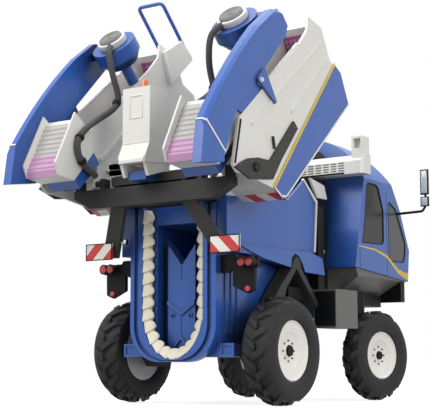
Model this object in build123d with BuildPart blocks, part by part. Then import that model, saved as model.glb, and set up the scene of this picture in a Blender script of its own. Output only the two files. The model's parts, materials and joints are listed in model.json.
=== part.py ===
"""Straddle grape harvester, a 1:32 display model with raised hoppers.

Millimetres, +X right, +Y forward, +Z up, ground at Z = 0. Stations run forward from the rear axle.
The hoppers are drawn lowered, in a frame that starts at their pivot, and are then tipped up.
"""
import os
from math import atan2, cos, degrees, pi, radians, sin, sqrt, tan

from build123d import *

os.makedirs("parts", exist_ok=True)

# Layout
rear_overhang = 67.65       # rear axle to the duct outlets
wheelbase = 82.9            # rear axle to the kingpins
front_overhang = 34.2       # kingpins to the cab's nose
steer_rest = -11.3          # degrees about +Z, wheels turned to the right
tip_rest = 45.0             # degrees, hoppers raised
seat_gap = 0.4              # room between neighbouring castings
running_gap = 0.05          # radial clearance of a turning pin
wheel_gap = 2.15            # leg face to the wheel beside it

# Wheels
rear_tyre_radius = 20.76
rear_tyre_width = 13.7
rear_rim_radius = 11.6
front_tyre_radius = 19.4
front_tyre_width = 10.2
front_rim_radius = 10.25
wheel_sides = 30            # facets of the carcass and the rim
lug_count = 16              # in each of the two rows
lug_height = 1.4
lug_width = 3.2
lug_slant = 35.0            # degrees from the wheel's axis
shoulder = 1.5              # bevel at the tread's edge
rim_lip = 0.9
rim_share = 0.36            # half the barrel over the tyre's width
dish_depth = 2.5
hub_radius = 2.9
hub_rise = 0.7
axle_radius = 1.6
axle_proud = 0.6            # axle end beyond the hub

# Picking head
head_half_width = 20.5
head_front = 48.0           # station of the head's front
head_roof = 77.0
head_bottom = 16.5          # foot of the rear flange
wall_rear = -18.5           # station of the walls' rear faces
wall_inset = 0.5            # wall behind the flange's edge
wall_bottom = 18.5
tunnel_half_width = 9.9
tunnel_roof = 70.0
flange_width = 6.0
flange_corner = 14.0
flange_depth = 3.5
opening_foot = 17.6         # foot of the flange's opening
opening_rise = 18.4         # height of the opening's elliptical foot
side_tray_outer = 26.3      # X of the tray low on the head's flank
side_tray_front = -8.0
side_tray_top = 23.6
panel_station = -10.9
panel_thick = 1.6
panel_half = 6.6            # raised middle of the panel
panel_proud = 3.2
panel_bottom = 19.0
panel_notch = 54.0          # foot of the V in the panel's top edge
panel_notch_slope = 1.25
ridge_width = 1.5
ridge_height = 0.7
belt_width = 4.4
belt_thick = 1.0
scale_pitch = 4.8
scale_reach = 4.7
scale_drop = 5.5
scale_thick = 1.2
scale_lean = 8.0            # degrees, lower edge rearwards
scale_turn = 24.0           # degrees, tip forwards
scale_root = 2.0            # root behind the walls
scale_fit = 0.1

# Legs and frame
leg_thick = 6.1
side_member_width = 4.0
side_member_top = 46.9
side_member_depth = 5.4
kingpin_reach = 4.2         # kingpin outside the head's flank
kingpin_radius = 1.5
kingpin_sleeve = 3.0
wheel_offset = 9.55         # kingpin to the front wheel's middle
rail_inset = 1.5            # upper rail inside the head's flank
rail_width = 4.2
rail_height = 5.5
upright_depth = 5.0
crossbeam_depth = 8.0
screw_radius = 1.25         # transit screw holes in the crossbeam's underside
screw_depth = 4.4
screw_x = 10.0

# Side covers
cover_offset = 3.6          # cover outside the head's flank
cover_thick = 1.2
cover_turn = 22.7           # station where the cover turns inwards
cover_taper = 1.6           # how far its front edge lies further in
skirt_flare = 1.8
trim_width = 1.0

# Rear beam
beam_station = -37.2        # rear face
beam_depth = 5.0
beam_half = 37.3
beam_bottom = 76.0
beam_top = 83.5
beam_end = 3.0              # height of the beam's ends
slot_rail_gap = 0.8
slot_rail_height = 3.4
arm_width = 7.0
arm_thick = 2.0
board_width = 13.4
board_height = 6.6
board_thick = 0.6
board_inner = 23.4
board_station = -30.2
board_z = 59.7
lamp_z = 53.5
lamp_radius = 1.6
lamp_places = (31.5, 35.0)  # X
lamp_depth = 3.4            # housing and lens behind the plate

# Hoppers
pivot_station = -34.7
pivot_z = 86.0
pin_radius = 1.2
pin_eye = 2.2
hopper_inner = 27.6
hopper_outer = 46.0
hopper_wall = 1.2
band_thick = 0.5
bracket_thick = 1.0
spout_inner = 25.1
spout_wall = 0.8
housing_outer = 40.0
duct_inner = 42.3
duct_outer = 46.2
duct_bevel = 1.2
fan_x = 29.8
fan_s = 50.5
volute_radius = 9.4
volute_bottom = 28.5
volute_height = 5.5
suction_radius = 2.4
duct_foot = 22.0
fan_ring_radius = 6.1
fan_ring_height = 2.6
fan_screen_radius = 5.1
fan_screen_height = 0.9
hose_x = 23.6
hose_radius = 1.25
guard_radius = 0.8
guard_s = 87.5              # guard rail ahead of the pivot
guard_top = 31.0

# Centre hood
hood_half = 6.5
hood_top = 119.5
hood_lip = 90.2
beacon_station = -40.0

# Cab
cab_half = 34.0
cab_wall = 1.4
cab_crown = 118.0
cab_eave = 97.0
cab_sill = 53.4             # at the nose
cab_sill_rear = 57.2
glass_thick = 0.7
glass_inset = 0.3
mirror_x = 48.2
mirror_width = 3.8
intake_half = 39.0
intake_bottom = 97.5
stack_top = 114.0

# Boxes between the wheels
side_box_width = 11.6
side_box_rear = 43.5
side_box_bottom = 30.5
side_box_top = 46.5
box_clearance = 2.0         # box to the front tyre

# Places that follow from these sizes
rear_axle_y = (rear_overhang - wheelbase - front_overhang) / 2
cab_nose = wheelbase + front_overhang
opening_half = head_half_width - flange_width
foot_z = opening_foot + opening_rise
leg_inner = head_half_width + seat_gap
leg_outer = leg_inner + leg_thick
rear_half_track = leg_outer + wheel_gap + rear_tyre_width / 2
side_member_outer = head_half_width + side_member_width
side_member_bottom = side_member_top - side_member_depth
kingpin_x = head_half_width + kingpin_reach
rail_outer = head_half_width - rail_inset
rail_inner = rail_outer - rail_width
upright_rear = head_front + 0.5
upright_front = upright_rear + upright_depth
cover_x = head_half_width + cover_offset
beam_front = beam_station + beam_depth
slot_rail_bottom = beam_top + slot_rail_gap
slot_rail_top = slot_rail_bottom + slot_rail_height
spout_outer = duct_inner - 0.1
fan_ring_bottom = volute_bottom + volute_height


def at(station):
    """Y of a station measured forward from the rear axle."""
    return rear_axle_y + station


def side_plane(x=0.0):
    """Plane for side views: local x is the station, local y is Z, and it extrudes towards +X."""
    return Plane(origin=(x, rear_axle_y, 0), x_dir=(0, 1, 0), z_dir=(1, 0, 0))


def front_plane(station):
    """Plane for front views: local x is X, local y is Z, and it extrudes rearwards."""
    return Plane(origin=(0, at(station), 0), x_dir=(1, 0, 0), z_dir=(0, -1, 0))


def hopper_plane(x=0.0):
    """Side view of the lowered hopper: local x runs forward and local y up, both from the pivot."""
    return Plane(origin=(x, at(pivot_station), pivot_z), x_dir=(0, 1, 0), z_dir=(1, 0, 0))


def axle_plane(x, station, z):
    """Plane across the car's width, for round shafts that run towards +X."""
    return Plane(origin=(x, at(station), z), x_dir=(0, 1, 0), z_dir=(1, 0, 0))


tip_axis = Axis((0, at(pivot_station), pivot_z), (1, 0, 0))
kingpin_axis = Axis((kingpin_x, at(wheelbase), 0), (0, 0, 1))
left_kingpin_axis = Axis((-kingpin_x, at(wheelbase), 0), (0, 0, 1))


def keep(piece, name):
    """Label a finished piece and write it."""
    piece.label = name
    export_step(piece, f"parts/{name}.step")


def keep_pair(piece, name):
    """Write a right-hand piece and its mirror image."""
    keep(piece, f"{name}_right")
    keep(mirror(piece, about=Plane.YZ), f"{name}_left")


def keep_hopper_pair(piece, name):
    """Tip a right-hand hopper piece up and write it with its mirror image."""
    keep_pair(piece.rotate(tip_axis, tip_rest), name)


def keep_steered_pair(piece, name):
    """Write a front wheel piece on both sides, turned with the steering."""
    keep(piece.rotate(kingpin_axis, steer_rest), f"{name}_right")
    keep(mirror(piece, about=Plane.YZ).rotate(left_kingpin_axis, steer_rest), f"{name}_left")


def slab(outline, plane, width):
    """Outline of straight edges, extruded by a width from its plane."""
    with BuildPart() as piece:
        with BuildSketch(plane):
            with BuildLine():
                Polyline(*outline, close=True)
            make_face()
        extrude(amount=width)
    return piece.part


def shaft(radius, plane, length):
    """Round bar that starts on a plane."""
    with BuildPart() as piece:
        with BuildSketch(plane):
            Circle(radius)
        extrude(amount=length)
    return piece.part


def prism(radius, sides, plane, length):
    """Many-sided disc or bar that starts on a plane."""
    with BuildPart() as piece:
        with BuildSketch(plane):
            RegularPolygon(radius, sides)
        extrude(amount=length)
    return piece.part


def block(low, high):
    """Box between two corners given as X, station and Z."""
    size = [b - a for a, b in zip(low, high)]
    with BuildPart() as piece:
        with Locations((low[0], at(low[1]), low[2])):
            Box(*size, align=(Align.MIN, Align.MIN, Align.MIN))
    return piece.part


def bent_bar(points, bends, radius, sides):
    """Bar of many-sided section along straight runs, each corner bent over a length before and after it."""
    route = [Vector(points[0])]
    for before, corner, after, bend in zip(points, points[1:], points[2:], bends):
        middle = Vector(corner)
        start, end = [middle + (Vector(far) - middle).normalized() * bend for far in (before, after)]
        route += [start, (start + end) * 0.25 + middle * 0.5, end]
    route.append(Vector(points[-1]))
    with BuildPart() as bar:
        with BuildLine() as path:
            Polyline(*route)
        with BuildSketch(Plane(origin=path.line @ 0, z_dir=path.line % 0)):
            RegularPolygon(radius, sides)
        sweep(transition=Transition.RIGHT)
    return bar.part


# Wheels, built round the X axis with the outer side towards +X
def make_tyre(radius, width, rim_radius):
    """Many-sided carcass with two staggered rows of slanting lugs that run out over the shoulder."""
    half = width / 2
    carcass = radius - lug_height
    overlap = 0.02 * width          # how far a lug crosses the tread's middle
    slant = radians(lug_slant)
    reach = (half / 2 + overlap) * tan(slant) + lug_width / 2 / cos(slant)
    lug_top = sqrt(radius ** 2 - reach ** 2)
    lug_base = carcass * cos(pi / wheel_sides) - 1.0
    wheel_plane = Plane(origin=(-half, 0, 0), x_dir=(0, 1, 0), z_dir=(1, 0, 0))
    section = [
        (-overlap, lug_base), (-overlap, lug_top), (half - shoulder, lug_top), (half, lug_base - shoulder)]
    with BuildPart() as lug:
        with BuildSketch(Plane.XY.offset(lug_base - 2)):
            with Locations(Location((half / 2, 0, 0), (0, 0, lug_slant))):
                Rectangle(2 * half, lug_width)
        extrude(amount=radius)
        add(slab(section, Plane.XZ.offset(-radius), 2 * radius), mode=Mode.INTERSECT)
    left_lug = mirror(lug.part, about=Plane.YZ)
    with BuildPart() as tyre:
        add(prism(carcass, wheel_sides, wheel_plane.offset(shoulder), width - 2 * shoulder))
        for face in tyre.faces().filter_by(Axis.X):
            extrude(face, amount=shoulder, taper=30)
        for number in range(lug_count):
            turn = 360 / lug_count * number
            add(lug.part.rotate(Axis.X, turn))
            add(left_lug.rotate(Axis.X, turn + 180 / lug_count))
        add(prism(rim_radius, wheel_sides, wheel_plane, width), mode=Mode.SUBTRACT)
    return tyre.part


def rim_face(width):
    """How far the hub's outer face stands from the wheel's middle."""
    return rim_share * width - dish_depth + hub_rise


def make_rim(width, rim_radius):
    """Wheel disc with a conical dish, a raised hub, a flat inner side and a bore for the axle."""
    barrel = rim_share * width
    inner_plane = Plane(origin=(-barrel, 0, 0), x_dir=(0, 1, 0), z_dir=(1, 0, 0))
    dish_taper = degrees(atan2(rim_radius - rim_lip - hub_radius, dish_depth))
    with BuildPart() as rim:
        add(prism(rim_radius, wheel_sides, inner_plane, 2 * barrel))
        with BuildSketch(Plane(origin=(barrel, 0, 0), x_dir=(0, 1, 0), z_dir=(-1, 0, 0))):
            RegularPolygon(rim_radius - rim_lip, wheel_sides)
        extrude(amount=dish_depth, taper=dish_taper, mode=Mode.SUBTRACT)
        add(prism(hub_radius, wheel_sides, inner_plane.offset(2 * barrel - dish_depth), hub_rise))
        add(shaft(axle_radius + running_gap, inner_plane, 2 * barrel), mode=Mode.SUBTRACT)
    return rim.part


rear_place = Location((rear_half_track, at(0), rear_tyre_radius))
front_place = Location((kingpin_x + wheel_offset, at(wheelbase), front_tyre_radius))
keep_pair(rear_place * make_tyre(rear_tyre_radius, rear_tyre_width, rear_rim_radius), "tyre_rear")
keep_pair(rear_place * make_rim(rear_tyre_width, rear_rim_radius), "rim_rear")
keep_steered_pair(
    front_place * make_tyre(front_tyre_radius, front_tyre_width, front_rim_radius), "tyre_front")
keep_steered_pair(front_place * make_rim(front_tyre_width, front_rim_radius), "rim_front")

# Knuckles: kingpin, sleeve and stub axle
sleeve_bottom = front_tyre_radius - 5.0
sleeve_top = front_tyre_radius + 9.5
with BuildPart() as knuckle:
    with Locations((kingpin_x, at(wheelbase), sleeve_bottom)):
        Cylinder(kingpin_sleeve, sleeve_top - sleeve_bottom, align=(Align.CENTER, Align.CENTER, Align.MIN))
        Cylinder(kingpin_radius, side_member_top - sleeve_bottom,
                 align=(Align.CENTER, Align.CENTER, Align.MIN))
    add(shaft(axle_radius, axle_plane(kingpin_x, wheelbase, front_tyre_radius),
              wheel_offset + rim_face(front_tyre_width) + axle_proud))
keep_steered_pair(knuckle.part, "knuckle")

# Chassis frame: upper rails on the head, uprights, side members, front crossbeam and kingpin sleeves
crossbeam_rear = cab_nose - 19.1
rail_top = head_roof + rail_height
with BuildPart() as chassis_frame:
    add(block((rail_inner, beam_front, head_roof), (rail_outer, upright_front, rail_top)))
    add(block((rail_inner, upright_rear, side_member_bottom), (side_member_outer, upright_front, rail_top)))
    add(block((leg_inner, 24, side_member_bottom), (side_member_outer, cab_nose - 13.1, side_member_top)))
    with Locations((kingpin_x, at(wheelbase), sleeve_top + seat_gap)):
        Cylinder(kingpin_sleeve, side_member_top - sleeve_top - seat_gap,
                 align=(Align.CENTER, Align.CENTER, Align.MIN))
    with Locations((kingpin_x, at(wheelbase), side_member_top)):
        Hole(kingpin_radius + running_gap, depth=side_member_top)
    mirror(about=Plane.YZ)
    add(block((-side_member_outer, crossbeam_rear, side_member_bottom),
              (side_member_outer, crossbeam_rear + crossbeam_depth, side_member_top)))
    screw_y = at(crossbeam_rear + crossbeam_depth / 2)
    for x in (-screw_x, screw_x):
        with Locations(Location((x, screw_y, side_member_bottom), (180, 0, 0))):
            Hole(screw_radius, depth=screw_depth)
    add(block((-rail_outer, upright_rear, head_roof), (rail_outer, upright_front, rail_top)))
keep(chassis_frame.part, "chassis_frame")

# Rear legs: an arm from the frame down to the axle, a thin brace forward, and the stub axle
axle_z = rear_tyre_radius
leg_outline = [
    (-6, axle_z + 3), (13.4, 46), (22.4, 53.8), (24.6, 57.6), (27, 59.3), (29.4, 57.8), (30.4, 54.4),
    (48, 37), (48, 34.6), (26.6, 54.2), (19, 46.4), (6, axle_z - 3), (3, axle_z - 6), (-3, axle_z - 6),
    (-6, axle_z - 3)]
with BuildPart() as rear_legs:
    add(slab(leg_outline, side_plane(leg_inner), leg_thick))
    add(shaft(axle_radius, axle_plane(leg_inner, 0, axle_z),
              rear_half_track - leg_inner + rim_face(rear_tyre_width) + axle_proud))
    mirror(about=Plane.YZ)
    add(chassis_frame.part, mode=Mode.SUBTRACT)
keep(rear_legs.part, "rear_legs")


# Picking head: walls and roof, with a beaded flange round its rear that closes at the foot
def foot_plug(side_inset, foot_inset, depth):
    """Solid inside the flange's outer edge, round at its two low corners, rearwards from the walls."""
    foot = head_bottom + foot_inset
    width = 2 * (head_half_width - side_inset)
    with BuildPart() as plug:
        with BuildSketch(front_plane(wall_rear)) as outline:
            with Locations((0, foot)):
                Rectangle(width, head_roof - foot, align=(Align.CENTER, Align.MIN))
            fillet(outline.vertices().group_by(Axis.Y)[0], flange_corner)
        extrude(amount=depth)
    return plug.part


def opening_plug(inset, depth):
    """Solid that fills the flange's opening, elliptical at its foot and drawn in by an inset."""
    half = opening_half - inset
    with BuildPart() as plug:
        with BuildSketch(front_plane(wall_rear)):
            with Locations((0, foot_z)):
                Ellipse(half, opening_rise - inset)
                Rectangle(2 * half, head_roof - foot_z, align=(Align.CENTER, Align.MIN))
        extrude(amount=depth)
    return plug.part


wall_outer = head_half_width - wall_inset
# Columns: inset of a band's outer edge at the sides and at the foot, depth of the band
flange_bands = ((0.0, 0.0, flange_depth), (1.9, 0.35, 0.7 * flange_depth), (3.9, 0.7, flange_depth))
with BuildPart() as head_shell:
    for side_inset, foot_inset, depth in flange_bands:
        if side_inset:
            add(foot_plug(side_inset, foot_inset, flange_depth), mode=Mode.SUBTRACT)
        add(foot_plug(side_inset, foot_inset, depth))
    add(opening_plug(0, flange_depth), mode=Mode.SUBTRACT)
    add(block((tunnel_half_width, wall_rear, wall_bottom), (wall_outer, head_front, head_roof)))
    for rib in (-15.5, -11.5, -7.5):
        add(block((wall_outer, rib, 27), (head_half_width, rib + 2, 57)))
    add(block((wall_outer, wall_rear, wall_bottom), (side_tray_outer, side_tray_front, side_tray_top)))
    add(block((wall_outer + 1, wall_rear, wall_bottom + 1),
              (side_tray_outer - 1, side_tray_front - 1, side_tray_top - 1)),
        mode=Mode.SUBTRACT)
    mirror(about=Plane.YZ)
    add(block((-wall_outer, wall_rear, tunnel_roof), (wall_outer, head_front, head_roof)))
keep(head_shell.part, "head_shell")


def notched(half):
    """Panel outline of a half width, with a V in its top edge."""
    top = panel_notch + panel_notch_slope * half
    return [(-half, panel_bottom), (-half, top), (0, panel_notch), (half, top), (half, panel_bottom)]


# Moulded panel in the tunnel: a raised middle with a wide V ridge and a small peak near the foot
panel_depth = panel_thick + panel_proud
# Columns: half width, height at the middle, rise of the ends above the middle
panel_ridges = ((panel_half, 34.4, 4.4), (3.4, 25.2, -3.6))
with BuildPart() as head_panel:
    add(slab(notched(tunnel_half_width), front_plane(panel_station), panel_thick))
    add(slab(notched(panel_half), front_plane(panel_station), panel_depth))
    for half, middle, rise in panel_ridges:
        end = middle + rise
        add(slab([(-half, end), (0, middle), (half, end), (half, end + ridge_width),
                  (0, middle + ridge_width), (-half, end + ridge_width)],
                 front_plane(panel_station), panel_depth + ridge_height))
keep(head_panel.part, "head_panel")

# Bucket conveyors: a belt down each side of the opening and in along its foot, with overlapping scales
belt_edge = opening_half - scale_fit
belt_rise = opening_rise - scale_fit
scale_y = at(wall_rear) - scale_root
scale_outline = [
    (0, 0), (0, -scale_drop), (-scale_reach + 1.5, -scale_drop), (-scale_reach + 0.4, -scale_drop + 0.8),
    (-scale_reach, -scale_drop + 2.2), (-scale_reach + 0.2, -1.2), (-scale_reach + 1.2, 0)]
scale = slab(scale_outline, Plane.XZ, scale_thick).rotate(Axis.X, -scale_lean).rotate(Axis.Z, -scale_turn)
with BuildPart() as noria:
    add(opening_plug(scale_fit, belt_thick))
    add(opening_plug(scale_fit + belt_width, belt_thick), mode=Mode.SUBTRACT)
    for number in range(int((head_roof - 2 - foot_z) / scale_pitch) + 1):
        add(Location((belt_edge, scale_y, head_roof - 1 - scale_pitch * number)) * scale)
    for turn in (10, 26, 42, 58, 74, 90):
        down, out = sin(radians(turn)), cos(radians(turn))
        facing = degrees(atan2(belt_edge * down, belt_rise * out))
        add(Location((belt_edge * out, scale_y, foot_z - belt_rise * down)) * scale.rotate(Axis.Y, facing))
    add(opening_plug(scale_fit, 2 * flange_depth), mode=Mode.INTERSECT)
    add(block((scale_fit, wall_rear - 2 * flange_depth, opening_foot), (belt_edge, wall_rear, head_roof)),
        mode=Mode.INTERSECT)
keep_pair(noria.part, "noria")

# Side covers: rear panel, front panel that turns inwards, sloping cap, rear return and a flared skirt
cover_rear = wall_rear - flange_depth + 0.5
cover_front = head_front + 0.2
cover_outline = [
    (cover_rear, 58), (cover_rear, 79), (cover_turn, 82), (37.2, 92), (cover_front, 84),
    (cover_front - 2, 58)]
cover_outer = cover_x + cover_thick
skirt_outline = [
    (-14, 61), (40, 62), (cover_front + 1.5, 60), (cover_front + 1.5, 52.8), (33.4, 53.2), (32.2, 56.6),
    (30.2, 59.6), (27.2, 60.4), (24.4, 59), (23, 54.4), (2, 56.9)]
with BuildPart() as side_cover:
    with BuildSketch(Plane.XY.offset(50)):
        with BuildLine():
            Polyline(
                (cover_x, at(cover_rear)), (cover_outer, at(cover_rear)), (cover_outer, at(cover_turn)),
                (cover_outer - cover_taper, at(cover_front)), (cover_x - cover_taper, at(cover_front)),
                (cover_x, at(cover_turn)), close=True)
        make_face()
    extrude(amount=50)
    add(slab(cover_outline, side_plane(cover_x - cover_offset), 2 * cover_offset), mode=Mode.INTERSECT)
    with BuildPart(mode=Mode.PRIVATE) as skirt:
        add(slab([(cover_x - cover_taper, 63), (cover_x + cover_thick + 0.2, 63),
                  (cover_x + cover_thick + skirt_flare, 52.6), (cover_x - cover_taper, 52.6)],
                 front_plane(cover_front + 2), cover_front + 20))
        add(slab(skirt_outline, side_plane(cover_x - cover_offset), 3 * cover_offset), mode=Mode.INTERSECT)
    add(skirt.part)
    add(slab([(cover_x, 77.8), (cover_outer, 79), (rail_outer + 0.1, 83.4), (rail_outer + 0.1, 82)],
             front_plane(cover_turn), cover_turn - cover_rear))
    add(block((head_half_width + 0.1, cover_rear, 58), (cover_x, cover_rear + 1, 78)))
    add(rear_legs.part, mode=Mode.SUBTRACT)
    add(chassis_frame.part, mode=Mode.SUBTRACT)
keep_pair(side_cover.part, "side_cover")

# White edge strip of each cover's front
trim_outline = [
    (cover_front - 2.7, 62.5), (cover_front - 0.7, 83.4), (36.8, 92), (37.2, 92.9),
    (cover_front + 0.3, 84.4), (cover_front - 1.7, 62.5)]
with BuildPart() as cover_trim:
    add(slab(trim_outline, side_plane(cover_outer - cover_taper - 0.2), trim_width))
    add(side_cover.part, mode=Mode.SUBTRACT)
keep_pair(cover_trim.part, "cover_trim")

# Rear beam: face with tapered ends, slotted upper rail, sloping board arms, lugs and pins for the hoppers
arm_top_x = 13.5
arm_run = (10.0, 7.4, -19.0)        # X, station and Z from the beam to an arm's foot
board_drop = beam_bottom - board_z - board_height / 2
arm_station = board_station + arm_run[1] / arm_run[2] * board_drop + board_thick
beam_outline = [
    (-beam_half, beam_top - beam_end), (-beam_half, beam_top), (beam_half, beam_top),
    (beam_half, beam_top - beam_end), (beam_half - 8, beam_bottom), (-beam_half + 8, beam_bottom)]
# Columns: inner and outer X of a hopper lug, end of its pin
hopper_lugs = ((hopper_inner - 5.1, hopper_inner - 3.1, hopper_inner + hopper_wall + 0.8),
               (hopper_outer - 11.2, hopper_outer - 9.0, hopper_outer + bracket_thick + 0.6))
with BuildPart() as rear_beam:
    with BuildSketch(Plane.XY.offset(beam_bottom + 0.3)):
        with Locations((arm_top_x, at(arm_station))):
            Rectangle(arm_width, arm_thick, align=(Align.MIN, Align.MIN))
    extrude(amount=sqrt(sum(step ** 2 for step in arm_run)), dir=arm_run)
    add(block((board_inner + 0.8, board_station + board_thick, board_z - 2.2),
              (board_inner + 6, board_station + board_thick + 2, board_z + 2.2)))
    for lug_low, lug_high, pin_end in hopper_lugs:
        add(block((lug_low, pivot_station - 2, beam_top - 0.5), (lug_high, pivot_station + 2, pivot_z + 1.6)))
        add(shaft(pin_radius, hopper_plane(lug_low), pin_end - lug_low))
    mirror(about=Plane.YZ)
    add(slab(beam_outline, front_plane(beam_front), beam_depth))
    add(block((-19, beam_front - 4.2, slot_rail_bottom), (17, beam_front, slot_rail_top)))
    for foot_x in (-18, -1, 14.5):
        add(block((foot_x, beam_front - 3.6, beam_top), (foot_x + 2, beam_front - 0.6, slot_rail_bottom)))
keep(rear_beam.part, "rear_beam")

# Marker boards, lamp brackets and tail lamps
with BuildPart() as marker_boards:
    add(block((board_inner, board_station, board_z - board_height / 2),
              (board_inner + board_width, board_station + board_thick, board_z + board_height / 2)))
    mirror(about=Plane.YZ)
keep(marker_boards.part, "marker_boards")

lamp_bar = [
    (wall_outer, 50), (wall_outer, 56.8), (27, 56.8), (28, lamp_z + 2), (37, lamp_z + 2), (37, lamp_z - 2),
    (26, lamp_z - 2), (24, 50)]
lamp_flap = [(25.9, lamp_z - 2), (35.7, lamp_z - 2), (35.5, 43.2), (32.4, 41.9), (25.9, 44.8)]
with BuildPart() as lamp_plates:
    for outline in (lamp_bar, lamp_flap):
        add(slab(outline, front_plane(wall_rear + 1.6), 1.6))
    for x in lamp_places:
        add(prism(lamp_radius + 0.35, 20, front_plane(wall_rear) * Pos(x, lamp_z), lamp_depth - 0.6))
    mirror(about=Plane.YZ)
keep(lamp_plates.part, "lamp_plates")

with BuildPart() as tail_lamps:
    for x in lamp_places:
        add(prism(lamp_radius, 20, front_plane(wall_rear - lamp_depth + 0.6) * Pos(x, lamp_z), 0.6))
    mirror(about=Plane.YZ)
keep(tail_lamps.part, "tail_lamps")

# Centre hood on two leg plates, with a flared foot; the block between its legs; the beacon
hood_outline = [
    (-45, 98), (-45, hood_top), (-34, hood_top), (-32.4, hood_top - 2.5), (-32.4, hood_lip + 1.6),
    (-44, hood_lip), (-48.2, hood_lip), (-48.2, hood_lip + 1.2)]
hood_leg = [
    (-47, hood_lip), (-36, hood_lip + 0.6), (beam_front, hood_lip + 1.6), (beam_front, slot_rail_top),
    (beam_front - 4.2, slot_rail_top), (-44.8, slot_rail_bottom + 1)]
with BuildPart() as centre_hood:
    add(slab(hood_outline, side_plane(-hood_half), 2 * hood_half))
    chamfer(centre_hood.edges().filter_by(Axis.Z).group_by(Axis.Y)[0], 0.8)
    for leg_x in (-hood_half + 0.3, hood_half - 1.7):
        add(slab(hood_leg, side_plane(leg_x), 1.4))
keep(centre_hood.part, "centre_hood")

keep(block((-4, -44, slot_rail_bottom), (4, beam_front - 4.2, slot_rail_top)), "hood_block")

with BuildPart() as beacon:
    with BuildSketch(Plane.XY.offset(hood_top)):
        with Locations((0, at(beacon_station))):
            RegularPolygon(1.9, 16)
    extrude(amount=1.2)
    with BuildSketch(Plane.XY.offset(hood_top + 1.2)):
        with Locations((0, at(beacon_station))):
            RegularPolygon(1.6, 16)
    extrude(amount=2.6, taper=9)
keep(beacon.part, "beacon")

# Cab: side outline crossed with an arched front outline, hollow, with its windows cut
# Columns: distance back from the nose, Z
cab_side = (
    (53, cab_sill_rear), (44.1, cab_eave), (41.1, cab_crown), (33.1, cab_crown), (9.1, 86), (0, 68),
    (1.8, cab_sill))
side_windows = (
    ((46.6, 68), (43.6, 82), (41.9, 94), (40.6, 95.4), (32.5, 95.4), (30.0, 94), (25.6, 84), (25.6, 70.4),
     (27.4, 68.6)),
    ((21.1, 63), (21.1, 88), (19.6, 89), (13.6, 86.4), (12.2, 85), (3.7, 71.4), (3.6, 69.6), (4.2, 64.6),
     (6, 62), (19.6, 61.5)),
)
front_window = ((-28, 62), (-28, 90), (-14, 108), (14, 108), (28, 90), (28, 62))
rear_window = ((-18, 100), (-18, 105), (-11, 111), (11, 111), (18, 105), (18, 100))


def from_nose(outline):
    """Stations of a side outline that is given back from the nose."""
    return [(cab_nose - back, z) for back, z in outline]


def cab_form(inset):
    """Solid cab form, drawn in from the outer skin by an inset."""
    edge = cab_half - inset
    with BuildPart() as form:
        with BuildSketch(side_plane(-cab_half)):
            with BuildLine():
                Polyline(*from_nose(cab_side), close=True)
            make_face()
            offset(amount=-inset, kind=Kind.INTERSECTION)
        extrude(amount=2 * cab_half)
        with BuildSketch(front_plane(cab_nose + 10)):
            with BuildLine():
                Line((-edge, cab_sill - 5), (-edge, cab_eave))
                ThreePointArc((-edge, cab_eave), (0, cab_crown - inset), (edge, cab_eave))
                Line((edge, cab_eave), (edge, cab_sill - 5))
                Line((edge, cab_sill - 5), (-edge, cab_sill - 5))
            make_face()
        extrude(amount=80, mode=Mode.INTERSECT)
    return form.part


with BuildPart() as window_cuts:
    for outline in side_windows:
        add(slab(from_nose(outline), side_plane(-cab_half - 5), 2 * cab_half + 10))
    add(slab(front_window, front_plane(cab_nose + 10), 27))
    add(slab(rear_window, front_plane(cab_nose - 36), 20))
cab_outer = cab_form(0.0)
with BuildPart() as cab_shell:
    add(cab_outer)
    add(cab_form(cab_wall), mode=Mode.SUBTRACT)
    add(window_cuts.part, mode=Mode.SUBTRACT)
keep(cab_shell.part, "cab_shell")

with BuildPart() as cab_glass:
    add(cab_form(glass_inset))
    add(cab_form(glass_inset + glass_thick), mode=Mode.SUBTRACT)
    add(window_cuts.part, mode=Mode.INTERSECT)
keep(cab_glass.part, "cab_glass")

# Cab tray: a pan whose four sides slope in to the frame, and the step blocks under its front corners
tray_half = cab_half - 0.7
tray_foot = cab_half - 12
# Columns: distance back from the nose, Z
tray_side = (
    (51.5, cab_sill_rear), (2.5, cab_sill_rear), (2.5, cab_sill), (8, side_member_top), (46, side_member_top))
tray_front = [
    (-tray_half, cab_sill_rear), (tray_half, cab_sill_rear), (tray_half, cab_sill),
    (tray_foot, side_member_top), (-tray_foot, side_member_top), (-tray_half, cab_sill)]
with BuildPart() as cab_tray:
    add(slab(from_nose(tray_side), side_plane(-cab_half), 2 * cab_half))
    add(slab(tray_front, front_plane(cab_nose), cab_nose), mode=Mode.INTERSECT)
    add(cab_outer, mode=Mode.SUBTRACT)
keep(cab_tray.part, "cab_tray")

with BuildPart() as front_steps:
    add(block((20, cab_nose - 7.6, 43.9), (33, cab_nose - 3.6, cab_sill)))
    mirror(about=Plane.YZ)
    add(cab_tray.part, mode=Mode.SUBTRACT)
    add(cab_outer, mode=Mode.SUBTRACT)
keep(front_steps.part, "front_steps")

# Mirrors: two heads on one bent arm at each side
mirror_station = cab_nose - 11.4
# Columns: bottom and top Z of a mirror head
mirror_heads = ((92.0, 103.5), (86.6, 91.0))
with BuildPart() as mirrors:
    arm_points = [(x, at(mirror_station), z) for x, z in (
        (cab_half - 0.6, 84.2), (mirror_x - 1.6, 84.6), (mirror_x, 87), (mirror_x, 101))]
    add(bent_bar(arm_points, [0.8, 0.8], 0.6, 6))
    for low, high in mirror_heads:
        add(block((mirror_x - mirror_width / 2, mirror_station - 1.4, low),
                  (mirror_x + mirror_width / 2, mirror_station - 0.2, high)))
    mirror(about=Plane.YZ)
    add(cab_outer, mode=Mode.SUBTRACT)
keep(mirrors.part, "mirrors")

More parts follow.
